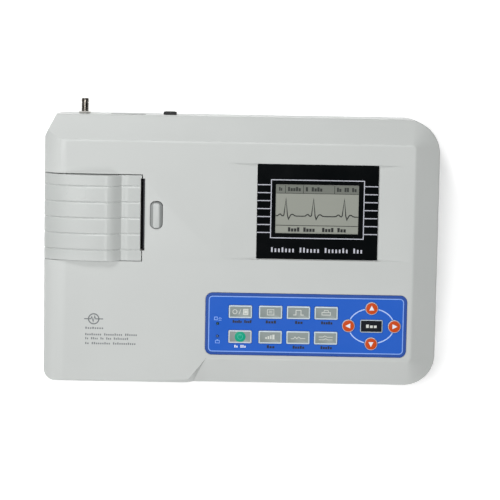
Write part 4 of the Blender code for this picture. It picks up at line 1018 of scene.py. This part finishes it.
def build_keys(keys, arrows):
    face = KEY_TOP - 0.12
    for name, x, v, size in keys:

        def cap(bm):
            rim = 0.4 if name == "ok" else 0.85
            levels = ((0, KEY_FOOT), (0, KEY_TOP - 0.3), (0.08, KEY_TOP - 0.08), (0.3, KEY_TOP))
            levels += ((rim, KEY_TOP), (rim + 0.15, face))
            add_stack(bm, spread(x, size[0]), spread(v, size[1]), 1.0, levels, 6, materials=[1, 1, 1, 1, 1, 0])
            low, high = face - SINK, face + PRINT
            if name == "ok":
                add_words(bm, (x - 4.7, x + 4.7), v, 2.7, (3,), low, high, 2, 0.72)
            elif name == "power":
                middle = x + 0.1
                disc = [(4.4, low), (4.4, high), (3.9, high + 0.1)]
                add_lathe(bm, disc, 40, centre=(middle, v, 0), materials=[3, 3, 3])
                add_ribbon(bm, circle(middle, v, 2.0), 0.45, high + 0.08, high + 0.13, 4, True)
                add_ribbon(bm, [(middle, v + 0.5), (middle, v + 2.6)], 0.5, high + 0.08, high + 0.14, 4)
            else:
                for points, width, closed in ICONS[name]:
                    add_ribbon(bm, [(x + a, v + b) for a, b in points], width, low, high, 2, closed)

        slot_name, colour = ("black_key", BLACK_KEY) if name == "ok" else ("key_plastic", KEY_FACE)
        materials = [colour, POWER_EDGE if name == "power" else KEY_BORDER_AND_HIGHLIGHT, INK_FAINT, GREEN, GREEN_RING]
        piece(f"{name}_key", cap, f"key_{name}", materials, [f"key_{name}"])
    for name, x, v, across, along in arrows:

        def round_cap(bm):
            profile = [(0, KEY_FOOT), (0, KEY_TOP - 0.35), (0.12, KEY_TOP - 0.1), (0.4, KEY_TOP)]
            profile += [(0.75, KEY_TOP - 0.04), (1.1, KEY_TOP)]
            profile = [(CURSOR_R - inset, height) for inset, height in profile]
            # The side and rounded edge take the pale border colour as a painted highlight; the top stays
            # orange.
            add_lathe(bm, profile, 56, centre=(x, v, 0), materials=[1, 1, 1, 0, 0, 0])
            tip, back = Vector((across, along)) * 2.5, Vector((across, along)) * -1.5
            side = Vector((-along, across)) * 2.0
            outline = [Vector((x, v)) + spot for spot in (tip, back + side, back - side)]
            add_prism(bm, outline, KEY_TOP - 0.05, KEY_TOP + 0.03, material=2)

        materials = [ORANGE, KEY_BORDER_AND_HIGHLIGHT, INK_WHITE]
        piece(f"{name}_key", round_cap, f"key_{name}", materials, [f"key_{name}"])


def build_keypad():
    keys = []
    for v, names in zip(KEY_ROWS, (("start", "mode", "cal", "print"), ("power", "lead", "speed", "filter"))):
        keys += [(name, x, v, KEY_SIZE) for x, name in zip(KEY_COLUMNS, names)]
    keys.append(("ok", *CURSOR, OK_SIZE))
    arrows = []
    for name, across, along in (("up", 0, 1), ("down", 0, -1), ("left", -1, 0), ("right", 1, 0)):
        x, v = CURSOR[0] + across * CURSOR_REACH[0], CURSOR[1] + along * CURSOR_REACH[1]
        arrows.append((name, x, v, across, along))
    build_keypad_face(keys, arrows)
    build_keys(keys, arrows)
    profile = [(1.1, -4.6), (1.1, 0.3), (0.95, 0.55), (0.66, 0.72), (0.3, 0.82), (0.0, 0.85)]
    lamps = (("mains", LAMP_GREEN, "green_lens"), ("battery", LAMP_AMBER, "amber_lens"))
    for v, (name, material, slot_name) in zip(LAMP_V, lamps):

        def lamp(bm):
            add_lathe(bm, profile, 28, centre=(LAMP_X, v, 0))

        piece(f"{name}_lens", lamp, "base", [material], [f"{name}_lamp"], sharp=60)


def build_case_print():
    """A generic heartbeat symbol and rows of bars at the front left, printed on the panel."""

    def prints(bm):
        low, high = -0.03, PRINT
        x, v = -117.0, -57.0
        add_ribbon(bm, circle(x, v, 4.1, 40), 1.0, low, high, 0, True)
        pulse = [(-7.6, 0), (-2.4, 0), (-1.5, 1.6), (-0.4, -2.2), (0.8, 2.2), (1.6, 0), (7.6, 0)]
        add_ribbon(bm, [(x + a, v + b) for a, b in pulse], 0.85, low, high)
        for v, end, height, groups in (
            (-64.4, -109.0, 1.7, (8,)),
            (-69.6, -82.0, 1.8, (8, 9, 6)),
            (-72.9, -89.0, 1.8, (2, 4, 2, 3, 8)),
            (-76.9, -83.0, 1.8, (2, 9, 11)),
        ):
            add_words(bm, (-124.0, end), v, height, groups, low, high)

    piece("case_print", prints, "base", [INK_GREY])


# Printer


def smooth_line(points, parts):
    """A Catmull-Rom line through points."""
    spots = [Vector(point) for point in points]
    line = []
    for index, (first, second) in enumerate(zip(spots, spots[1:])):
        before = spots[max(index - 1, 0)]
        after = spots[min(index + 2, len(spots) - 1)]
        for part in range(parts):
            t = part / parts
            square = (2 * before - 5 * first + 4 * second - after) * t**2
            cube = (3 * first - before - 3 * second + after) * t**3
            line.append(0.5 * (2 * first + (second - before) * t + square + cube))
    line.append(spots[-1])
    return line


def door_profile():
    """The door's outer line from its hinge up the left wall, over the arch and down to the slot, as (x, n)."""
    apex_x, apex_n, spring = -110.0, 4.55, -7.0
    points = [(-HALF_W, n) for n in (HINGE.z - 1.0, -30.0, -28.5, -26.0, -20.0, -14.0, -9.0)]
    for degrees in range(90, 0, -3):
        angle = math.radians(degrees)
        x = apex_x - (HALF_W + apex_x) * math.sin(angle)
        points.append((x, spring + (apex_n - spring) * math.cos(angle)))
    points += [(apex_x, apex_n), (-108.9, 4.56), (-108.5, 4.6), (-107.1, 4.84), (-106.8, 4.86)]
    slope = [(-106.4, 4.8), (-105.0, 4.6), (-103.6, 4.24), (-102.2, 3.7), (-100.6, 2.9)]
    points += smooth_line(slope + [(-98.6, 1.72), (-96.4, 0.38)], 3)
    points += [(-95.75, -0.06), (-95.5, -0.1), (-94.6, 0.06), (-94.4, 0.08)]
    points += [(-93.0, 0.02), (-92.7, 0.04), (-91.1, 0.34), (-90.7, 0.4)]
    flat_end, fall = -80.4, 0.041
    points += [(x, fall * (flat_end - x)) for x in (-90.3, -88.0, -86.0, -84.0, -82.5, -81.2, flat_end)]
    points += [(DOOR_RIGHT - 0.3, 0.0), (DOOR_RIGHT, 0.0)]
    return [Vector(point) for point in points]


def outward(points, index):
    along = (points[min(index + 1, len(points) - 1)] - points[max(index - 1, 0)]).normalized()
    return Vector((-along.y, along.x))


def build_door():
    """The arched paper door with its moulded grooves, cheeks, hinge barrel and platen lugs."""
    points = door_profile()
    count = len(points)
    pitch, depth = 12.8, 0.55
    slot = (SLOT_V[0] - DOOR_V, SLOT_V[1] - DOOR_V)
    groove = [(-1.6, 0), (-1.35, 0), (-1.2, 0.03), (-0.45, 0.32), (-0.25, 0.85)]
    groove += [(0, 1), (0.28, 0.85), (0.55, 0.2), (0.75, 0), (1.0, 0)]
    # Sections across the door: where, how far the end is rounded off, and the share of a groove's depth
    sections = [(slot[0] - 0.02, 0, 0), (slot[0], 0, 0), (slot[1], 0, 0), (slot[1] + 0.02, 0, 0)]
    for inset, round_off in ((0, 0.5), (0.1, 0.2), (0.35, 0)):
        sections += [(inset - DOOR_HALF, round_off, 0), (DOOR_HALF - inset, round_off, 0)]
    for number in range(-2, 3):
        sections += [(number * pitch + offset, 0, share) for offset, share in groove]
    sections.sort()

    def shell(bm):
        def spot(index, v, sink):
            x, n = points[index] - outward(points, index) * sink
            if slot[0] <= v <= slot[1]:
                x = min(x, SLOT_X[0] - 0.05 * (count - 1 - index))
            return bm.verts.new((x, DOOR_V + v, n))

        outer = []
        for v, round_off, share in sections:
            row = []
            for index in range(count):
                fade = min(1.0, max(0.0, index - 1) / 2, (count - 1 - index) / 2)
                row.append(spot(index, v, round_off + share * depth * fade))
            outer.append(row)
        inner = [[spot(index, v, DOOR_T) for index in range(count)] for v, _, _ in sections]
        for grid in (outer, inner):
            for near, far in zip(grid, grid[1:]):
                join(bm, near, far, closed=False)
        for side in (0, -1):
            join(bm, outer[side], inner[side], closed=False)
        for end in (0, -1):
            join(bm, [row[end] for row in outer], [row[end] for row in inner], closed=False)

    def hinge_and_lugs(bm):
        edge = [index for index in range(8, count) if points[index].x < -97.5]
        outline = [tuple(points[index] - outward(points, index) * 1.2) for index in edge]
        outline += [(-99.0, -5.0), (-138.0, -5.0), (-151.0, -23.0)]
        low, high = DOOR_V - DOOR_HALF + 0.1, DOOR_V + DOOR_HALF - 0.1
        add_prism(bm, outline, low, DOOR_V - 32.6, "Y")
        add_prism(bm, outline, DOOR_V + 32.6, high, "Y")
        profile = both_ends([(PIN_HOLE, 0), (3.2, 0), (BARREL_R, 0.2)], low, high)
        add_lathe(bm, profile, 40, "Y", (HINGE.x, 0, HINGE.z), close=True)
        for low, high in ((-2.1, -0.1), (56.5, 58.5)):
            add_box(bm, (-88.6, low, -12.4), (-80.9, high, -1.2))

    piece("paper_lid", shell, "door", [DOOR], ["paper_door"], sharp=30)
    piece("lid_hinge", hinge_and_lugs, "door", [DOOR], sharp=30)


def build_printer():
    low, high = spread(PLATEN.y, 56)

    def roller(bm):
        profile = both_ends([(PIN_HOLE, 0), (4.6, 0), (5.0, 0.4)], low, high)
        add_lathe(bm, profile, 64, "Y", (PLATEN.x, 0, PLATEN.z), close=True)

    def shaft(bm):
        profile = both_ends([(0.0, 0), (1.2, 0), (1.5, 0.3)], -7.4, 60.6)
        add_lathe(bm, profile, 40, "Y", (PLATEN.x, 0, PLATEN.z))

    def roll(bm):
        end = [(6.06, 0.3), (7.4, 0.3), (7.4, 0), (13.0, 0.12), (20.2, 0), (20.5, 0.2)]
        profile = both_ends(end, *spread(ROLL.y, 50))
        materials = [1, 1] + [0] * 7 + [1, 1, 1]
        add_lathe(bm, profile, 96, "Y", (ROLL.x, 0, ROLL.z), materials, close=True)

    def head(bm):
        outline = [(-3.2, 0.0), (-3.2, 22.4), (-2.4, 23.2), (-1.2, 23.2)]
        outline += [(-1.2, 17.5), (1.8, 17.5), (1.8, -2.0), (-1.2, -2.0)]
        x, _, n = HEAD_PIVOT
        add_prism(bm, [(x + a, n + b) for a, b in outline], low, high, "Y")
        add_box(bm, (x - 1.2, low + 1, n + 17.4), (x - 0.6, high - 1, n + 22.6), 1)
        for number in range(9):
            v = low + 4 + number * 6
            add_box(bm, (x + 1.75, v, n + 0.5), (x + 2.0, v + 3.2, n + 15.5), 0)

    piece("platen_sleeve", roller, "platen", [PLATEN_RUBBER], ["platen_roller"], sharp=40)
    piece("platen_axle", shaft, "platen", [STEEL], ["platen_shaft"], sharp=40)
    piece("chart_roll", roll, "roll", [PAPER, CARD], ["paper_roll"], sharp=40)
    piece("thermal_head", head, "head", [HEAD, CERAMIC], ["print_head"])


def build_button():
    """The release button: a pale crest between sloping sides painted a darker grey as shade, on a flange and a
    stem.
    """
    x, v = spread(BUTTON.x, BUTTON_SIZE[0]), spread(BUTTON.y, BUTTON_SIZE[1])
    levels = [(0, 0, -6), (0, 0, -0.1), (0.2, 0.15, 0.25), (1.2, 0.35, 0.8), (2.2, 0.6, 1.35)]
    levels += [(2.5, 0.75, 1.55), (3.3, 1.4, 1.6)]

    def button(bm):
        loops = []
        for in_x, in_v, height in levels:
            limits = (x[0] + in_x, x[1] - in_x), (v[0] + in_v, v[1] - in_v)
            loops.append((rounded(*limits, max(3.9 - in_x, 1.0), 16), BUTTON.z + height))
        # The lower steps take the darker grey, which paints shade on the button's sides.
        add_skin(bm, loops, materials=[1, 1, 1, 1, 0, 0, 0])
        outline = rounded((x[0] - 1.6, BUTTON.x + 8.4), (v[0] - 1.6, v[1] + 1.6), 4, 8)
        add_prism(bm, outline, -7.6, -4.4, material=1)
        stem, half = BUTTON.x + 5.8, 2.4
        add_box(bm, (stem - half, BUTTON.y - half, -32.2), (stem + half, BUTTON.y + half, -7), 1)

    materials = [BUTTON_TOP, BUTTON_SHADED_SIDE]
    piece("door_button", button, "release", materials, ["release_button"], sharp=40)


# Rear panel and sockets


def build_rear():
    out = HALF_D

    def stud(bm):
        profile = [(0.0, 97.5 - out), (3.0, 97.5 - out), (3.0, 1.7), (2.75, 1.8), (2.75, 2.2), (3.0, 2.3)]
        for number in range(6):
            at = 2.8 + number * 0.85
            profile += [(3.0, at), (2.7, at + 0.2), (2.7, at + 0.4), (3.0, at + 0.6)]
        profile += [(3.0, 8.1), (2.6, 8.3), (2.6, 9.0), (3.0, 9.2), (3.0, STUD_OUT - 0.9)]
        profile += [(2.7, STUD_OUT - 0.25), (2.2, STUD_OUT), (0.0, STUD_OUT)]
        add_lathe(bm, profile, 48, "Y", (STUD_X, out, REAR_Z))

    def nut(bm):
        hole, sixth = 3.1, math.pi / 3
        loops = []
        for reach, height in both_ends([(hole, 0), (5.0, 0), (5.5, 0.35)], out + 0.2, out + 1.6):
            loop = []
            for step in range(48):
                angle = math.tau * step / 48
                to_flat = (angle + sixth / 2) % sixth - sixth / 2
                radius = reach if reach == hole else min(reach, reach * math.cos(sixth / 2) / math.cos(to_flat))
                loop.append((STUD_X + radius * math.cos(angle), REAR_Z + radius * math.sin(angle)))
            loops.append((loop, height))
        add_skin(bm, loops, "Y", close=True)

    def housing(bm):
        levels = [(0.6, -9.1), (0.6, 0.2), (0, 0.2), (0, 2.35), (0.1, 2.45), (1.2, 2.45), (1.25, 2.2)]
        levels = [(inset, out + height) for inset, height in levels + [(1.3, -9.1)]]
        add_stack(bm, spread(SWITCH_X, 10.3), spread(REAR_Z, 16.8), 0.4, levels, 5, "Y", close=True)
        add_box(bm, (SWITCH_X - 4.7, 92, REAR_Z - 7.7), (SWITCH_X + 4.7, out - 9, REAR_Z + 7.7))

    def rocker(bm):
        shape = [(-4.0, -6.4), (0.9, -6.2), (0.35, -4.0), (0.1, -1.8), (0.2, 0.4), (0.9, 2.8), (2.1, 5.0)]
        shape += [(2.9, 5.85), (2.45, 6.15), (-2.0, 6.2), (-5.0, 0)]
        add_prism(bm, [(out + y, REAR_Z + z) for y, z in shape], SWITCH_X - 3.6, SWITCH_X + 3.6, "X")
        low, high = REAR_Z - 5.2, REAR_Z - 2.6
        add_box(bm, (SWITCH_X - 0.35, out + 0.6, low), (SWITCH_X + 0.35, out + 0.75, high), 1)
        mark_z, half = REAR_Z + 3.6, 0.12
        ring = circle(SWITCH_X, mark_z, 1.1, 16)
        for first, second in zip(ring, ring[1:] + ring[:1]):
            (left, right), (low, high) = (sorted(pair) for pair in zip(first, second))
            depth = out + 1.45 + 0.47 * (first[1] - mark_z)
            near = (left - half, depth - 0.15, low - half)
            add_box(bm, near, (right + half, depth + 0.1, high + half), 1)

    def inlet(bm):
        hole = [Vector(point) for point in ((-12, -8), (12, -8), (12, 3), (7.5, 8), (-7.5, 8), (-12, 3))]
        mouth = []
        for first, second in zip(hole, hole[1:] + hole[:1]):
            mouth += [first.lerp(second, part / 8) for part in range(8)]
        for half_x, half_z, low, high in ((13.7, 10, 91, out - 0.2), (16.5, 12.5, 102.4, 104.7)):
            edge = []
            for spot in mouth:
                edge.append(spot * min(half_x / max(abs(spot.x), 1e-6), half_z / max(abs(spot.y), 1e-6)))
            loops = []
            for loop, height in ((edge, low), (edge, high), (mouth, high), (mouth, low)):
                loops.append(([(INLET_X + a, REAR_Z + b) for a, b in loop], height))
            add_skin(bm, loops, "Y", close=True)
        add_box(bm, (INLET_X - 13.7, 84, REAR_Z - 10), (INLET_X + 13.7, 91.2, REAR_Z + 10))
        for x, z in ((INLET_X - 7, REAR_Z - 1.5), (INLET_X, REAR_Z + 2.5), (INLET_X + 7, REAR_Z - 1.5)):
            add_box(bm, (x - 1, 90, z - 2), (x + 1, 101.5, z + 2), 1)

    def patient(bm):
        add_box(bm, (150.4, 0.4, 33.6), (154.7, 39.6, 46.4), 0)
        outline = [(7.6, 44.1), (32.4, 44.1), (30.6, 35.9), (9.4, 35.9)]
        inner = [(8.5, 43.3), (31.5, 43.3), (29.9, 36.7), (10.1, 36.7)]
        add_skin(bm, ((outline, 154.0), (outline, 157.3), (inner, 157.3), (inner, 154.0)), "X", close=True)
        add_prism(bm, inner, 154.5, 155.4, "X", 1)
        pin = [(0.0, 155.0), (0.5, 155.0), (0.5, 155.6), (0.25, 155.6), (0.25, 155.2), (0.0, 155.2)]
        for z, pins in ((41.4, 8), (38.6, 7)):
            for number in range(pins):
                y = 20 + (number - (pins - 1) / 2) * 2.5
                add_lathe(bm, pin, 12, "X", (0, y, z), [2] * 6)
        for y in (3.6, 36.4):
            add_lathe(bm, [(0.0, 154.5), (1.5, 154.5), (1.5, 155.1), (0.0, 155.1)], 6, "X", (0, y, 40))

    def usb(bm):
        outer, inner = (rectangle((-36.4, -23.6), (36.8, 43.2), inset) for inset in (0, 0.45))
        add_skin(bm, ((outer, 140), (outer, 157.3), (inner, 157.3), (inner, 142)), "X")
        add_box(bm, (142, -35.2, 40.6), (156, -24.8, 42.0), 1)
        for number in range(4):
            y = -33.6 + number * 2.4
            add_box(bm, (148, y - 0.6, 40.5), (155.6, y + 0.6, 40.7), 2)

    case_piece("ground_stud", stud, [STUD_NICKEL_DARKENED], "equipotential_stud", 30)
    case_piece("ground_nut", nut, [SATIN], "stud_nut", 25)
    case_piece("switch_frame", housing, [SWITCH], "switch_housing", 35)
    materials = [SWITCH, INK_WHITE]
    piece("power_rocker", rocker, "rocker", materials, ["mains_rocker"], CASE_PLACE, 35)
    case_piece("power_inlet", inlet, [BLACK, STEEL], "mains_inlet", 35)
    case_piece("lead_socket", patient, [ZINC, BLACK, GOLD], "patient_socket", 35)
    case_piece("data_socket", usb, [STEEL, BLACK, GOLD], "usb_socket", 35)


def finish_cad_nodes():
    """Materials for the CAD shapes that stay as they are."""
    finishes = {
        WRAP: ["battery_pack"],
        ZINC: ["battery_screw"] + [f"case_screw_{number}" for number in range(1, 5)],
        BOARD: ["keypad_board", "main_board", "power_board"],
        STEEL: ["door_hinge_pin"],
        ACETAL: ["platen_gear", "idler_gear"],
        BRASS: ["motor_pinion"],
        CAN: ["stepper_motor"],
        TRAY: ["paper_tray"],
        DARK: ["roll_spindle", "door_latch"],
    }
    for material, names in finishes.items():
        for name in names:
            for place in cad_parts[name].material_slots:
                place.material = material


# Camera and light


def build_camera():
    """A long lens almost over the machine, tilted a little to its rear and rolled by a degree."""
    tilt, roll = math.radians(10.0), math.radians(1.0)
    distance = 2400.0
    aim = Vector((1.7, 1.1, 0.0))
    back = Vector((0, math.sin(tilt), math.cos(tilt)))
    up = Vector((0, math.cos(tilt), -math.sin(tilt)))
    right = Vector((1, 0, 0))
    across = right * math.cos(roll) + up * math.sin(roll)
    above = up * math.cos(roll) - right * math.sin(roll)
    data = bpy.data.cameras.new("camera")
    data.lens = 216.5
    data.sensor_width = 36.0
    data.shift_x = 0.014
    data.clip_start = 0.05
    place = Matrix((across, above, back)).transposed().to_4x4()
    place.translation = aim + back * distance
    camera = new_object("camera", data)
    camera.matrix_world = metres(TO_PANEL @ place)
    bpy.context.scene.camera = camera


def build_studio():
    """A pale floor under four soft lights, all aimed at the middle of the machine."""

    def floor(bm):
        size = (-3000, 3000)
        bm.faces.new([bm.verts.new((x, y, 0)) for x, y in rectangle(size, size)])

    nodes = Nodes("studio_floor")
    material = nodes.paint(
        Base_Color=nodes.mix(nodes.noise(3), (0.9, 0.9, 0.9), (0.93, 0.93, 0.93)),
        Roughness=0.8,
        Emission_Color=(1, 1, 1),
        Emission_Strength=0.4,
    )
    new_object("floor", new_mesh("floor", floor, Matrix.Identity(4), [material]))
    for name, spot, size, power in (
        ("top_light", (-0.06, 0.29, 1.93), 0.7, 13.2),
        ("left_light", (-0.68, -0.12, 1.81), 1.0, 10.6),
        ("rear_light", (-0.64, 1.33, 1.25), 0.6, 14.5),
        ("front_light", (0, -1.56, 1.14), 1.0, 11.8),
    ):
        data = bpy.data.lights.new(name, "AREA")
        data.shape = "DISK"
        data.size = size
        data.energy = power
        light = new_object(name, data)
        light.location = spot
        light.rotation_euler = (Vector((0, 0, 0.05)) - Vector(spot)).to_track_quat("-Z", "Y").to_euler()
    world = bpy.data.worlds.new("studio")
    world.use_nodes = True
    background = world.node_tree.nodes["Background"]
    background.inputs["Color"].default_value = (1, 1, 1, 1)
    background.inputs["Strength"].default_value = 0.03
    bpy.context.scene.world = world
    bpy.context.scene.view_settings.view_transform = "Standard"


build_camera()
build_studio()
build_upper_case()
build_lower_case()
build_base_parts()
build_display()
build_keypad()
build_case_print()
build_door()
build_printer()
build_button()
build_rear()
finish_cad_nodes()
